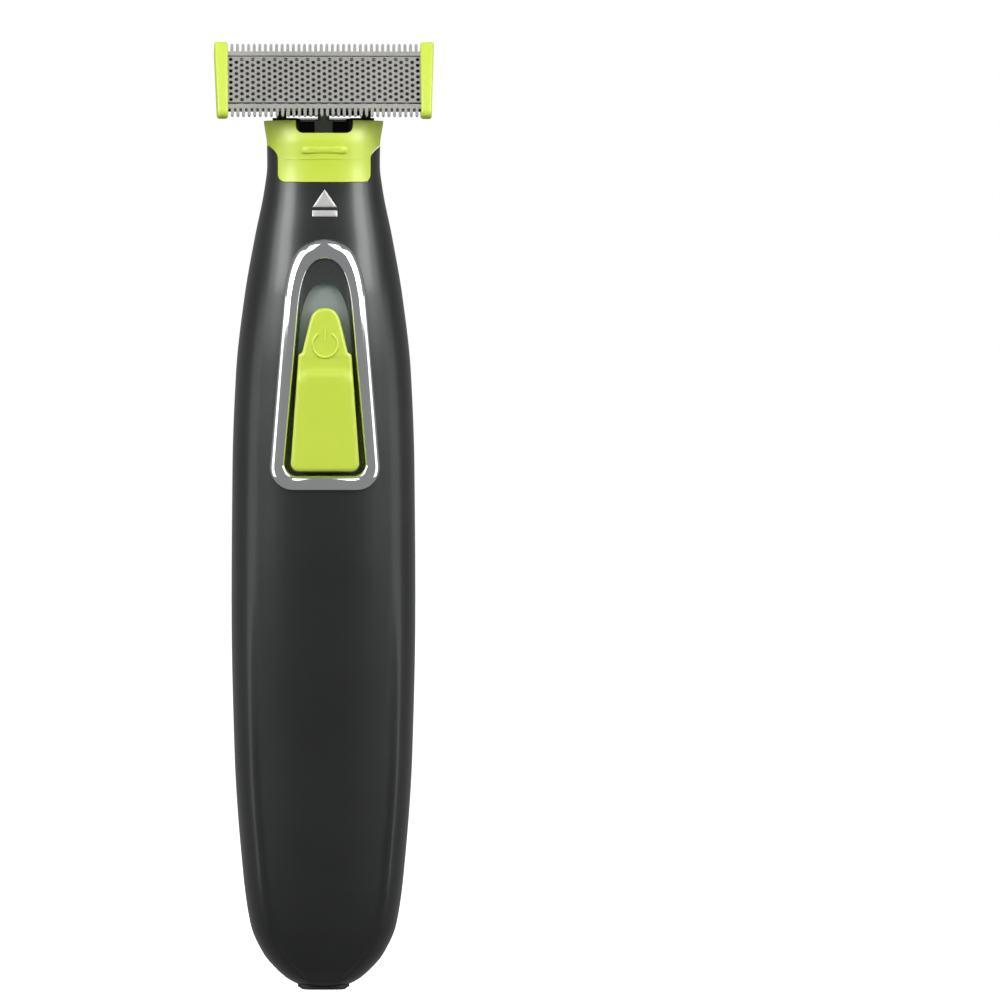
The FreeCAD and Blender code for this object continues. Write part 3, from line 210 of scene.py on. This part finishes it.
ACETAL = moulded("white_acetal", srgb(214, 213, 208), srgb(226, 225, 220), 0.5)

NODE_FINISH = {
    "dark_shell": DARK_SHELL, "chrome": CHROME, "lime_plastic": LIME, "dark_plastic": DARK,
    "surround_plastic": SURROUND, "grey_plastic": GREY, "silver_mark": SILVER, "blade_steel": STEEL,
    "spring_steel": SPRING, "seal_rubber": RUBBER, "cell_wrap": CELL, "board_green": BOARD,
    "motor_steel": SPRING, "contact_brass": BRASS, "white_acetal": ACETAL,
}


def finish_cad_nodes():
    """Every CAD node gets its slot's finish."""
    for row in frame["record"]["subparts"]:
        data = frame["nodes"][row["node"]].data
        data.materials.clear()
        data.materials.append(NODE_FINISH[row["material_slot"]])
    frame["nodes"]["foil_plate"].data.materials[0] = FOIL
    frame["nodes"]["power_mark"].data.materials[0] = LIME


# ---------------------------------------------------------------- the handle's form, in millimetres

SHOULDER = 142.6
TAIL_HEIGHT = 40.0
NECK_HEIGHT = 54.6
GRIP = (15.5, 11.6, 12.9)
NECK_SIZE = (9.5, 7.8, 7.7)
TAIL = ((0, 0.232, 0.276), (0.025, 0.323, 0.38), (0.075, 0.484, 0.526), (0.15, 0.652, 0.68),
        (0.275, 0.794, 0.828), (0.5, 0.877, 0.92), (1, 0.968, 0.983))
NECK = ((1, 0.025, 0), (0.707, 0.125, 0.02), (0.469, 0.367, 0.12), (0.286, 0.658, 0.52), (0.139, 0.925, 0.9),
        (0.066, 1, 1), (0, 0.99, 1.02), (-0.073, 0.9, 1.3), (-0.165, 0.88, 1.4))
POWER = 2.4
PARTING = 0.5
WALL = 1.6
SHELL_LOW, SHELL_HIGH = 0.03, 146.0
SHELL_SEAM = 0.05
COLLAR_GAP = 0.09
RING_SEAT = 1.3
SOCKET_HALF, SOCKET_DEEP = 4.4, 3.1


def form_stations():
    """Height, half width, front and back depth of each section, from the bottom up."""
    rows = [(z * TAIL_HEIGHT, GRIP[0] * w, GRIP[1] * d, GRIP[2] * d) for z, w, d in TAIL]
    rows.append(((TAIL_HEIGHT + SHOULDER - NECK_HEIGHT) / 2, *GRIP))
    for share, width, depth in NECK:
        sizes = [g + (n - g) * f for g, n, f in zip(GRIP, NECK_SIZE, (width, depth, depth))]
        rows.append((SHOULDER - share * NECK_HEIGHT, *sizes))
    return rows


STATIONS = form_stations()


def slopes(column):
    """Smooth slopes at the stations that never overshoot between them."""
    steps = [(b[column] - a[column]) / (b[0] - a[0]) for a, b in zip(STATIONS, STATIONS[1:])]
    inner = [0.0 if p * q <= 0 else 2 * p * q / (p + q) for p, q in zip(steps, steps[1:])]
    return [steps[0], *inner, steps[-1]]


SLOPES = {column: slopes(column) for column in (1, 2, 3)}


def form_at(z):
    """Half width, front and back depth of the handle at a height."""
    index = 0
    while index < len(STATIONS) - 2 and STATIONS[index + 1][0] < z:
        index += 1
    low, high = STATIONS[index], STATIONS[index + 1]
    run = high[0] - low[0]
    t = min(max((z - low[0]) / run, 0.0), 1.0)
    sizes = []
    for column in (1, 2, 3):
        a, b = low[column], high[column]
        p, q = SLOPES[column][index] * run, SLOPES[column][index + 1] * run
        sizes.append(a * (1 + 2 * t) * (1 - t) ** 2 + p * t * (1 - t) ** 2
                     + b * t * t * (3 - 2 * t) + q * t * t * (t - 1))
    rounding = 1 - 0.40 * max(0.0, 1 - z / 2.0) ** 2.2
    return [value * rounding for value in sizes]


def smooth_step(low, high, value):
    """0 below low, 1 above high, and a smooth rise between."""
    t = min(max((value - low) / (high - low), 0.0), 1.0)
    return t * t * (3 - 2 * t)


RELIEF_INSET = 3.5
RELIEF_DEPTH = 0.9
RELIEF_FLOOR = 2.0


def relief(x, z, half):
    """How far the front's soft U-shaped panel lies below the surface round it."""
    side = half - RELIEF_INSET - abs(x)
    inside = min(side, (z - RELIEF_FLOOR) * 0.9)
    return RELIEF_DEPTH * smooth_step(-0.8, 0.8, inside) * (1 - smooth_step(28, 74, z))


def front_y(x, z, with_relief=True):
    """The front surface's y at a place on the handle."""
    half, front, back = form_at(z)
    across = min(abs(x) / half, 0.999)
    middle, deep = (back - front) / 2, (back + front) / 2
    y = middle - deep * (1 - across ** POWER) ** (1 / POWER)
    return y + (relief(x, z, half) if with_relief else 0.0)


def form_mesh(name, low, high, rows, around, grow=0.0, with_relief=False):
    """A closed solid of the handle's form between two heights."""
    points = []
    for row in range(rows + 1):
        z = low + (high - low) * row / rows
        half, front, back = [value + grow for value in form_at(z)]
        middle, deep = (back - front) / 2, (back + front) / 2
        for k in range(around):
            turn = 2 * math.pi * k / around
            c, s = math.cos(turn), math.sin(turn)
            x = half * math.copysign(abs(c) ** (2 / POWER), c)
            y = middle + deep * math.copysign(abs(s) ** (2 / POWER), s)
            if with_relief and s < 0:
                y += relief(x, z, half) * smooth_step(0.0, 0.5, -s)
            points.append((x, y, z))
    faces = []
    for row in range(rows):
        for k in range(around):
            a, b = row * around + k, row * around + (k + 1) % around
            faces.append((a, b, b + around, a + around))
    faces.append(tuple(range(around))[::-1])
    faces.append(tuple(range(rows * around, (rows + 1) * around)))
    return mesh_piece(name, points, faces)


def ring_faces(count, levels, closed=False):
    """The faces between rings of points, and from the last ring back to the first if closed."""
    faces = []
    for level in range(levels if closed else levels - 1):
        above = (level + 1) % levels
        for k in range(count):
            n = (k + 1) % count
            faces.append((level * count + k, level * count + n, above * count + n, above * count + k))
    return faces


def prism_mesh(name, outline, front, back):
    """A closed solid of an outline in x and z, from front to back."""
    count = len(outline)
    points = [(x, front, z) for x, z in outline] + [(x, back, z) for x, z in outline]
    faces = [tuple(range(count)), tuple(range(2 * count - 1, count - 1, -1))]
    faces += [(k, (k + 1) % count, count + (k + 1) % count, count + k) for k in range(count)]
    return mesh_piece(name, points, faces, smooth=False)


# ---------------------------------------------------------------- outlines on the front

def arch(bottom, top, low_half, high_half, crown, corner, fine=8):
    """A closed upright arch in x and z: round bottom corners, tapered sides, rounded crown."""
    foot, shoulder = bottom + corner, top - crown
    right = [(low_half * 0.35, bottom), (low_half - corner, bottom)]
    for k in range(1, fine + 1):
        turn = math.pi / 2 * k / fine
        right.append((low_half - corner + corner * math.sin(turn), foot - corner * math.cos(turn)))
    for k in range(1, 3 * fine + 1):
        t = k / (3 * fine)
        right.append((low_half + (high_half - low_half) * t, foot + (shoulder - foot) * t))
    slope = (high_half - low_half) / (shoulder - foot)
    start, end = (high_half, shoulder), (0.0, top)
    reach = crown * 0.62
    first = (start[0] + slope * reach, start[1] + reach)
    second = (high_half * 0.62, top)
    for k in range(1, 3 * fine + 1):
        t = k / (3 * fine)
        weights = ((1 - t) ** 3, 3 * t * (1 - t) ** 2, 3 * t * t * (1 - t), t ** 3)
        spots = (start, first, second, end)
        right.append(tuple(sum(w * p[i] for w, p in zip(weights, spots)) for i in (0, 1)))
    left = [(-x, z) for x, z in reversed(right[:-1])]
    return right + left


def bezel_outline(inset):
    """The ring's outline, drawn in by an inset; its crown and corners tighten as it shrinks."""
    top = 126.4 - 1.35 * inset
    crown = 10.2 - 0.6 * inset
    corner = 4.0 - 0.75 * inset
    return arch(84.0 + inset, top, 9.3 - inset, 7.0 - inset, crown, corner)


def slot_outline():
    """The slot's outline, as wide as the slider's crown at the end of its travel."""
    return arch(87.05, 118.95, 5.95, 4.3, 8.6, 1.5)


def bezier(spots, count):
    """Points along a cubic curve, without its first."""
    out = []
    for k in range(1, count + 1):
        t = k / count
        weights = ((1 - t) ** 3, 3 * t * (1 - t) ** 2, 3 * t * t * (1 - t), t ** 3)
        out.append(tuple(sum(w * p[i] for w, p in zip(weights, spots)) for i in (0, 1)))
    return out


def slider_outline(fine=8):
    """The thumb pad from its lower left corner: a wide lower part, small shoulders, a round-nosed crown."""
    bottom, low_half, corner = 87.3, 5.73, 1.35
    foot, flat = bottom + corner, low_half - corner
    shoulder = (4.46, 106.6)
    base = [(flat * (2 * k / PAD_COLUMNS - 1), bottom) for k in range(1, PAD_COLUMNS)]
    right = [(flat, bottom)]
    for k in range(1, fine + 1):
        turn = math.pi / 2 * k / fine
        right.append((flat + corner * math.sin(turn), foot - corner * math.cos(turn)))
    for k in range(1, 3 * fine + 1):
        t = k / (3 * fine)
        right.append((low_half + (shoulder[0] - low_half) * t, foot + (shoulder[1] - foot) * t))
    right += bezier((shoulder, (4.42, 107.15), (3.95, 106.95), (3.78, 107.45)), fine)
    (low_x, low_z), (high_x, high_z) = (3.78, 107.45), (2.62, 112.3)
    for k in range(1, fine + 1):
        right.append((low_x + (high_x - low_x) * k / fine, low_z + (high_z - low_z) * k / fine))
    right += bezier(((2.62, 112.3), (2.2, 114.05), (1.35, 114.7), (0.0, 114.7)), 2 * fine)
    left = [(-x, z) for x, z in reversed(right[:-1])]
    return left[-1:] + base + right + left[:-1]


def collar_outline(grow=0.0, fine=8):
    """The release collar from the front, closed well above its top."""
    half, bottom, corner = 7.8 + grow, 136.0 - grow, 1.3 + grow
    right = [(half * 0.4, bottom - 0.05), (half - corner, bottom)]
    for k in range(1, fine + 1):
        turn = math.pi / 2 * k / fine
        right.append((half - corner + corner * math.sin(turn), bottom + corner - corner * math.cos(turn)))
    flare_low, flare_high = 140.0 - grow, 142.5 - grow
    for k in range(fine + 1):
        t = k / fine
        right.append((half + (9.75 + grow - half) * t ** 1.8, flare_low + (flare_high - flare_low) * t))
    right += [(14.0, flare_high), (14.0, 160.0)]
    return right + [(-x, z) for x, z in reversed(right)]


def stadium_mesh(name, half, deep, low, high, fine=10):
    """A rounded-end prism along z, for the charging socket."""
    ring = []
    for k in range(4 * fine):
        turn = 2 * math.pi * (k + 0.5) / (4 * fine)
        c, s = math.cos(turn), math.sin(turn)
        ring.append((math.copysign(half - deep, c) + deep * c, deep * s))
    points = [(x, y, low) for x, y in ring] + [(x, y, high) for x, y in ring]
    count = len(ring)
    faces = [tuple(range(count)), tuple(range(2 * count - 1, count - 1, -1))]
    faces += [(k, (k + 1) % count, count + (k + 1) % count, count + k) for k in range(count)]
    return mesh_piece(name, points, faces, smooth=False)


def join(items):
    """Joins separate meshes into the first."""
    whole = bmesh.new()
    for item in items:
        whole.from_mesh(item.data)
    whole.to_mesh(items[0].data)
    whole.free()
    for item in items[1:]:
        bpy.data.objects.remove(item)
    return items[0]


def box_mesh(name, low, high):
    """A plain block used as a cutting tool."""
    points = [(x, y, z) for x in (low[0], high[0]) for y in (low[1], high[1]) for z in (low[2], high[2])]
    faces = [(0, 1, 3, 2), (4, 6, 7, 5), (0, 4, 5, 1), (2, 3, 7, 6), (0, 2, 6, 4), (1, 5, 7, 3)]
    return mesh_piece(name, points, faces, smooth=False)


# ---------------------------------------------------------------- visible pieces

def make_shells():
    """The two painted half shells, with the front's soft U-shaped panel and a fine seam between them."""
    solid = form_mesh("shell_form", SHELL_LOW, SHELL_HIGH, rows=236, around=144, with_relief=True)
    cut_away(solid, form_mesh("shell_room", WALL, SHELL_HIGH - 1.0, rows=90, around=72, grow=-WALL))
    tools = [
        prism_mesh("collar_cut", collar_outline(COLLAR_GAP), -30, 30),
        prism_mesh("bezel_cut", bezel_outline(RING_SEAT), -30, -3),
        stadium_mesh("socket_cut", SOCKET_HALF, SOCKET_DEEP, -5, 11),
    ]
    cut_away(solid, join(tools))
    for name, node, low, high in (("front_cover", "front_shell", -30, PARTING - SHELL_SEAM),
                                  ("back_cover", "back_shell", PARTING + SHELL_SEAM, 30)):
        half = link(name, solid.data.copy())
        cut_away(half, box_mesh("half_cut", (-30, low, -5), (30, high, 160)), "INTERSECT")
        half.data.set_sharp_from_angle(angle=math.radians(35))
        finish_piece(half, DARK_SHELL, "handle", "dark_shell", node)
    bpy.data.objects.remove(solid)


def make_bezel():
    """The bright ring: a domed band that follows the handle, with a wall down to the plate inside."""
    layers = 15
    width = 2.55
    wall_foot, wall_thick = -8.95, 0.8
    edge_lift, crown_lift = 0.12, 0.78
    rings = []
    rings.append([(x, front_y(x, z) + 0.8, z) for x, z in bezel_outline(0.12)])
    for k in range(layers + 1):
        t = k / layers
        lift = edge_lift + crown_lift * max(math.sin(math.pi * t), 0.0) ** 0.55
        rings.append([(x, front_y(x, z) - lift, z) for x, z in bezel_outline(width * t)])
    rings.append([(x, wall_foot, z) for x, z in bezel_outline(width)])
    rings.append([(x, wall_foot, z) for x, z in bezel_outline(width - wall_thick)])
    count = len(rings[0])
    points = [p for ring in rings for p in ring]
    faces = ring_faces(count, len(rings), closed=True)
    ring = mesh_piece("chrome_ring", points, faces)
    ring.data.set_sharp_from_angle(angle=math.radians(50))
    finish_piece(ring, CHROME, "handle", "chrome", "chrome_bezel")


def make_surround():
    """The dark dished plate between the ring and the slider's slot."""
    outer = bezel_outline(2.6)
    inner = slot_outline()
    steps = 6
    back, floor, rise = -9.0, -9.92, 0.55
    rings = [[(x, back, z) for x, z in outer]]
    for k in range(steps + 1):
        t = k / steps
        dish = floor - rise * (1 - t) ** 1.5
        rings.append([(a + (c - a) * t, dish, b + (d - b) * t) for (a, b), (c, d) in zip(outer, inner)])
    rings.append([(x, back, z) for x, z in inner])
    count = len(outer)
    points = [p for ring in rings for p in ring]
    faces = ring_faces(count, len(rings), closed=True)
    plate = mesh_piece("switch_dish", points, faces)
    plate.data.set_sharp_from_angle(angle=math.radians(35))
    finish_piece(plate, SURROUND, "handle", "surround_plastic", "switch_surround")


PAD_PROUD = 1.0
PAD_EDGE = 0.55
PAD_STEP = 0.34
PAD_COLUMNS = 12
PAD_BACK = -10.15
STEP_LINE = 104.1
STEP_SAG = 0.045
STEP_HALF = 0.18


def pad_y(x, z, inset):
    """The slider's outer surface: it follows the handle, steps down near its top and is round-edged."""
    step_line = STEP_LINE - STEP_SAG * x * x
    y = front_y(x, z, False) - PAD_PROUD + PAD_STEP * smooth_step(-STEP_HALF, STEP_HALF, z - step_line)
    if inset < PAD_EDGE:
        y += PAD_EDGE - math.sqrt(max(PAD_EDGE ** 2 - (PAD_EDGE - inset) ** 2, 0.0))
    return y


def inset_outline(outline, distance):
    """An outline drawn in by a distance, along its own normals."""
    moved = []
    count = len(outline)
    for k in range(count):
        a, b = outline[k - 1], outline[(k + 1) % count]
        along = (b[0] - a[0], b[1] - a[1])
        length = math.hypot(*along) or 1.0
        x, z = outline[k]
        moved.append((x - along[1] / length * distance, z + along[0] / length * distance))
    return moved


def thumb_pad(name, outline, y_of, back, insets):
    """A pad: rings drawn in from an outline to round its edge, then rows of points across its face."""
    rings = [[(x, back, z) for x, z in outline]]
    for inset in insets:
        rings.append([(x, y_of(x, z, inset), z) for x, z in inset_outline(outline, inset)])
    count = len(outline)
    points = [p for ring in rings for p in ring]
    faces = [tuple(range(count)), *ring_faces(count, len(rings))]
    start = (len(rings) - 1) * count
    below = [start + k for k in range(PAD_COLUMNS + 1)]
    for left in range(1, (count - PAD_COLUMNS) // 2):
        right = PAD_COLUMNS + left
        first, last = points[start + count - left], points[start + right]
        row = [start + count - left]
        for k in range(1, PAD_COLUMNS):
            x, z = (first[i] + (last[i] - first[i]) * k / PAD_COLUMNS for i in (0, 2))
            row.append(len(points))
            points.append((x, y_of(x, z, PAD_EDGE), z))
        row.append(start + right)
        faces += [(below[k], below[k + 1], row[k + 1], row[k]) for k in range(PAD_COLUMNS)]
        below = row
    tip = start + PAD_COLUMNS + (count - PAD_COLUMNS) // 2
    faces += [(below[k], below[k + 1], tip) for k in range(PAD_COLUMNS)]
    return mesh_piece(name, points, faces)


def make_slider():
    """The bright thumb slider, its stem, and the raised stand-by sign on it."""
    insets = (0.0, 0.06, 0.14, 0.25, 0.38, 0.56, 0.9)
    pad = thumb_pad("thumb_slider", slider_outline(), pad_y, PAD_BACK, insets)
    stem = box_mesh("slider_stem", (-1.8, -10.2, 97.0), (1.8, -8.05, 105.0))
    join([pad, stem])
    pad.data.polygons.foreach_set("use_smooth", [True] * len(pad.data.polygons))
    pad.data.set_sharp_from_angle(angle=math.radians(38))
    finish_piece(pad, LIME, "slider", "lime_plastic", "power_slider")
    centre, radius = 108.5, 2.1
    turns = [math.radians(32 + 296 * k / 60) for k in range(61)]
    ring = [(radius * math.sin(turn), centre + radius * math.cos(turn)) for turn in turns]
    stroke = [(0.0, centre + 0.75 + 2.0 * k / 10) for k in range(11)]
    sign = join([ribbon("sign_ring", ring, 0.5), ribbon("sign_stroke", stroke, 0.5)])
    sign.name = "standby_sign"
    sign.data.set_sharp_from_angle(angle=math.radians(50))
    finish_piece(sign, LIME, "slider", "lime_plastic", "power_mark")


def ribbon(name, path, width):
    """A raised rounded line along a path on the slider's face."""
    profile = [(-0.5, 0.08), (-0.42, -0.07), (-0.2, -0.13), (0.0, -0.15),
               (0.2, -0.13), (0.42, -0.07), (0.5, 0.08)]
    points = []
    for k, (x, z) in enumerate(path):
        a, b = path[max(k - 1, 0)], path[min(k + 1, len(path) - 1)]
        length = math.hypot(b[0] - a[0], b[1] - a[1])
        side = ((b[1] - a[1]) / length, -(b[0] - a[0]) / length)
        for across, lift in profile:
            px, pz = x + side[0] * across * width, z + side[1] * across * width
            points.append((px, pad_y(px, pz, 9.0) + lift, pz))
    count = len(profile)
    faces = [tuple(range(count)), tuple(range(len(points) - 1, len(points) - count - 1, -1))]
    for k in range(len(path) - 1):
        for n in range(count):
            a, b = k * count + n, k * count + (n + 1) % count
            faces.append((a, b, b + count, a + count))
    return mesh_piece(name, points, faces)


def make_eject_sign():
    """The silver eject sign on the neck: a triangle over a bar, thin and laid on the surface."""
    signs = []
    for name, corners in (("sign_triangle", ((-2.05, 131.7), (2.05, 131.7), (0.0, 134.7))),
                          ("sign_bar", ((-2.1, 130.1), (2.1, 130.1), (2.1, 131.15), (-2.1, 131.15)))):
        outline = []
        for a, b in zip(corners, corners[1:] + corners[:1]):
            outline += [(a[0] + (b[0] - a[0]) * t / 12, a[1] + (b[1] - a[1]) * t / 12) for t in range(12)]
        signs.append(patch(name, outline, 0.05))
    sign = join(signs)
    sign.name = "eject_sign"
    finish_piece(sign, SILVER, "handle", "silver_mark", "eject_mark")


def patch(name, outline, lift):
    """A thin flat-backed patch of an outline, laid on the handle's front."""
    centre = (sum(x for x, _ in outline) / len(outline), sum(z for _, z in outline) / len(outline))
    points = []
    count = len(outline)
    rings = [(1.0, -0.12), (1.0, lift * 0.6), (0.97, lift), (0.6, lift), (0.25, lift), (0.02, lift)]
    for share, height in rings:
        for x, z in outline:
            px, pz = centre[0] + (x - centre[0]) * share, centre[1] + (z - centre[1]) * share
            points.append((px, front_y(px, pz) - height, pz))
    faces = [tuple(range(count)), tuple(range(len(points) - count, len(points)))]
    faces += ring_faces(count, len(rings))
    return mesh_piece(name, points, faces)


def make_collar():
    """The bright release collar: tab, shoulders, window, and the raised thumb bar above a crease."""
    solid = form_mesh("release_tab", 135.4, 146.38, 44, 144)
    cut_away(solid, prism_mesh("collar_keep", collar_outline(0.0), -30, 30), "INTERSECT")
    room = form_mesh("collar_room", 141.8, 150.0, 20, 72, -1.3)
    stub = box_mesh("collar_stub", (-5.55, -3.85, 130), (5.55, 3.85, 143))
    cut_away(solid, room)
    cut_away(solid, stub)
    window = arch(144.2, 152.0, 4.8, 4.8, 1.0, 1.2)
    cut_away(solid, prism_mesh("collar_window", window, -30, -2))
    bevelled(solid, 0.32, 3, 42)
    finish_piece(solid, LIME, "head_base", "lime_plastic", "release_collar")
    bar = []
    for name, half, low, high, lift in (("collar_bar", 3.9, 140.75, 141.85, 0.3),
                                        ("collar_ridge", 6.4, 139.75, 139.95, 0.12)):
        outline = rounded_box(half, low, high, min(0.45, (high - low) * 0.45))
        bar.append(patch(name, outline, lift))
    ridge = join(bar)
    ridge.name = "collar_bars"
    finish_piece(ridge, LIME, "head_base", "lime_plastic")


def rounded_box(half, low, high, corner, fine=5):
    """A rounded rectangle in x and z."""
    outline = []
    spots = ((half - corner, low + corner, -90), (half - corner, high - corner, 0),
             (-half + corner, high - corner, 90), (-half + corner, low + corner, 180))
    for x, z, start in spots:
        for k in range(fine + 1):
            turn = math.radians(start + 90 * k / fine)
            outline.append((x + corner * math.cos(turn), z + corner * math.sin(turn)))
    return outline


# ---------------------------------------------------------------- the tilting head

HEAD_LEAN = math.radians(24.0)
HEAD_AT = Vector((0.0, -6.6, 153.2))
HEAD_TURN = Matrix.Rotation(-HEAD_LEAN, 3, "X")


def on_head(across, back, up):
    """A point of the head's own frame, in millimetres, as a point of the groomer."""
    return HEAD_AT + HEAD_TURN @ Vector((across, back, up))


def make_caps():
    """The bright end cheeks: thick, rounded at every edge and drawn in towards their lower outer corner."""
    inner, outer, taper = 16.2, 18.52, 0.55
    profile = ((-0.5, -6.2), (0.1, -7.0), (2.6, -6.07), (4.35, -5.29), (4.35, 6.3), (3.7, 6.95), (-0.5, 6.95))
    for name, side, node in (("cheek_right", 1, "right_cap"), ("cheek_left", -1, "left_cap")):
        points = []
        for level, x in enumerate((inner, outer)):
            for back, up in profile:
                draw_in = taper * smooth_step(-2.0, -7.0, up) if level else 0.0
                points.append(on_head(side * (x - draw_in), back, up))
        count = len(profile)
        faces = [tuple(range(count)), tuple(range(2 * count - 1, count - 1, -1))]
        faces += [(k, (k + 1) % count, count + (k + 1) % count, count + k) for k in range(count)]
        cheek = mesh_piece(name, points, faces)
        bevelled(cheek, 0.55, 4, 25)
        finish_piece(cheek, LIME, "blade_head", "lime_plastic", node)


# ---------------------------------------------------------------- camera, light and floor

VIEW_AZIMUTH = math.radians(-2.0)
VIEW_WIDTH = 168.4
VIEW_CENTRE = (29.65, 82.5)
VIEW_DEPTH = -3.0
LIGHT_AIM = 85.0
FLOOR_LEVEL = -1.9
FLOOR_RADIUS = 9000.0


def make_camera():
    """A long lens, level and a touch from the left, with the groomer left of the middle."""
    data = bpy.data.cameras.new("camera")
    data.sensor_width = 36.0
    data.lens = 500.0
    distance = VIEW_WIDTH * data.lens / data.sensor_width
    right = Vector((math.cos(VIEW_AZIMUTH), math.sin(VIEW_AZIMUTH), 0))
    ahead = Vector((-math.sin(VIEW_AZIMUTH), math.cos(VIEW_AZIMUTH), 0))
    camera = bpy.data.objects.new("camera", data)
    centre = right * VIEW_CENTRE[0] + Vector((0, VIEW_DEPTH, VIEW_CENTRE[1]))
    camera.location = (centre - ahead * distance) * MM
    camera.rotation_euler = (math.radians(90), 0, VIEW_AZIMUTH)
    data.clip_start = 0.01
    data.clip_end = 20.0
    bpy.context.scene.collection.objects.link(camera)
    bpy.context.scene.camera = camera


def softbox(name, azimuth, elevation, distance, size, radiance):
    """A large soft light, placed by its direction from the groomer's middle (azimuth 0 is the front)."""
    turn, rise = math.radians(azimuth), math.radians(elevation)
    aim = Vector((0, 0, LIGHT_AIM))
    reach = Vector((math.sin(turn) * math.cos(rise), -math.cos(turn) * math.cos(rise), math.sin(rise)))
    data = bpy.data.lights.new(name, "AREA")
    data.shape = "RECTANGLE"
    data.size = size[0] * MM
    data.size_y = size[1] * MM
    data.energy = radiance * math.pi * data.size * data.size_y
    light = bpy.data.objects.new(name, data)
    light.location = (aim + reach * distance) * MM
    light.rotation_euler = (-reach).to_track_quat("-Z", "Y").to_euler()
    bpy.context.scene.collection.objects.link(light)
    return light


def make_world():
    """White to the camera and dim to everything else, so that gloss shows the softboxes and not the room."""
    world = bpy.data.worlds.new("studio")
    world.use_nodes = True
    tree = world.node_tree
    paths = tree.nodes.new("ShaderNodeLightPath")
    seen = tree.nodes["Background"]
    seen.inputs["Color"].default_value = (1, 1, 1, 1)
    room = tree.nodes.new("ShaderNodeBackground")
    room.inputs["Color"].default_value = (1, 1, 1, 1)
    room.inputs["Strength"].default_value = 0.28
    mix = tree.nodes.new("ShaderNodeMixShader")
    tree.links.new(paths.outputs["Is Camera Ray"], mix.inputs["Fac"])
    tree.links.new(room.outputs["Background"], mix.inputs[1])
    tree.links.new(seen.outputs["Background"], mix.inputs[2])
    tree.links.new(mix.outputs["Shader"], tree.nodes["World Output"].inputs["Surface"])
    bpy.context.scene.world = world


def make_floor():
    """A plain pale floor, lit from within so that it meets the white room without an edge."""
    count = 96
    turns = [2 * math.pi * k / count for k in range(count)]
    edge = [(FLOOR_RADIUS * math.cos(t), FLOOR_RADIUS * math.sin(t), FLOOR_LEVEL) for t in turns]
    floor = mesh_piece("floor", edge, [tuple(range(count))], smooth=False)
    material, tree, shader = new_material("floor_paper")
    fine = noise(tree, 300.0)
    tree.links.new(tint(tree, fine, (0.9, 0.9, 0.9, 1), (0.92, 0.92, 0.92, 1)), shader.inputs["Base Color"])
    shader.inputs["Roughness"].default_value = 0.8
    shader.inputs["Emission Color"].default_value = (1, 1, 1, 1)
    shader.inputs["Emission Strength"].default_value = 0.9
    floor.data.materials.append(material)
    floor.visible_glossy = False
    floor.visible_diffuse = False


def make_studio():
    """The room, the softboxes of both sides, and a floor. The sheen boxes light gloss alone."""
    make_world()
    for side, turn in (("left", -1), ("right", 1)):
        softbox(f"{side}_light", 58 * turn, 28, 620, (420, 420), 3.7)
        softbox(f"{side}_fill", 84 * turn, -2, 620, (240, 300), 1.6)
        softbox(f"{side}_top", 26 * turn, 46, 640, (240, 240), 2.4)
        sheen = softbox(f"{side}_sheen", 50 * turn, 27, 620, (240, 320), 7.0)
        sheen.visible_diffuse = False
    softbox("back_light", 180, 35, 900, (500, 400), 2.0)
    bpy.context.scene.view_settings.view_transform = "Standard"
    make_floor()


make_camera()
make_studio()
finish_cad_nodes()
make_shells()
make_bezel()
make_surround()
make_slider()
make_eject_sign()
make_collar()
make_caps()
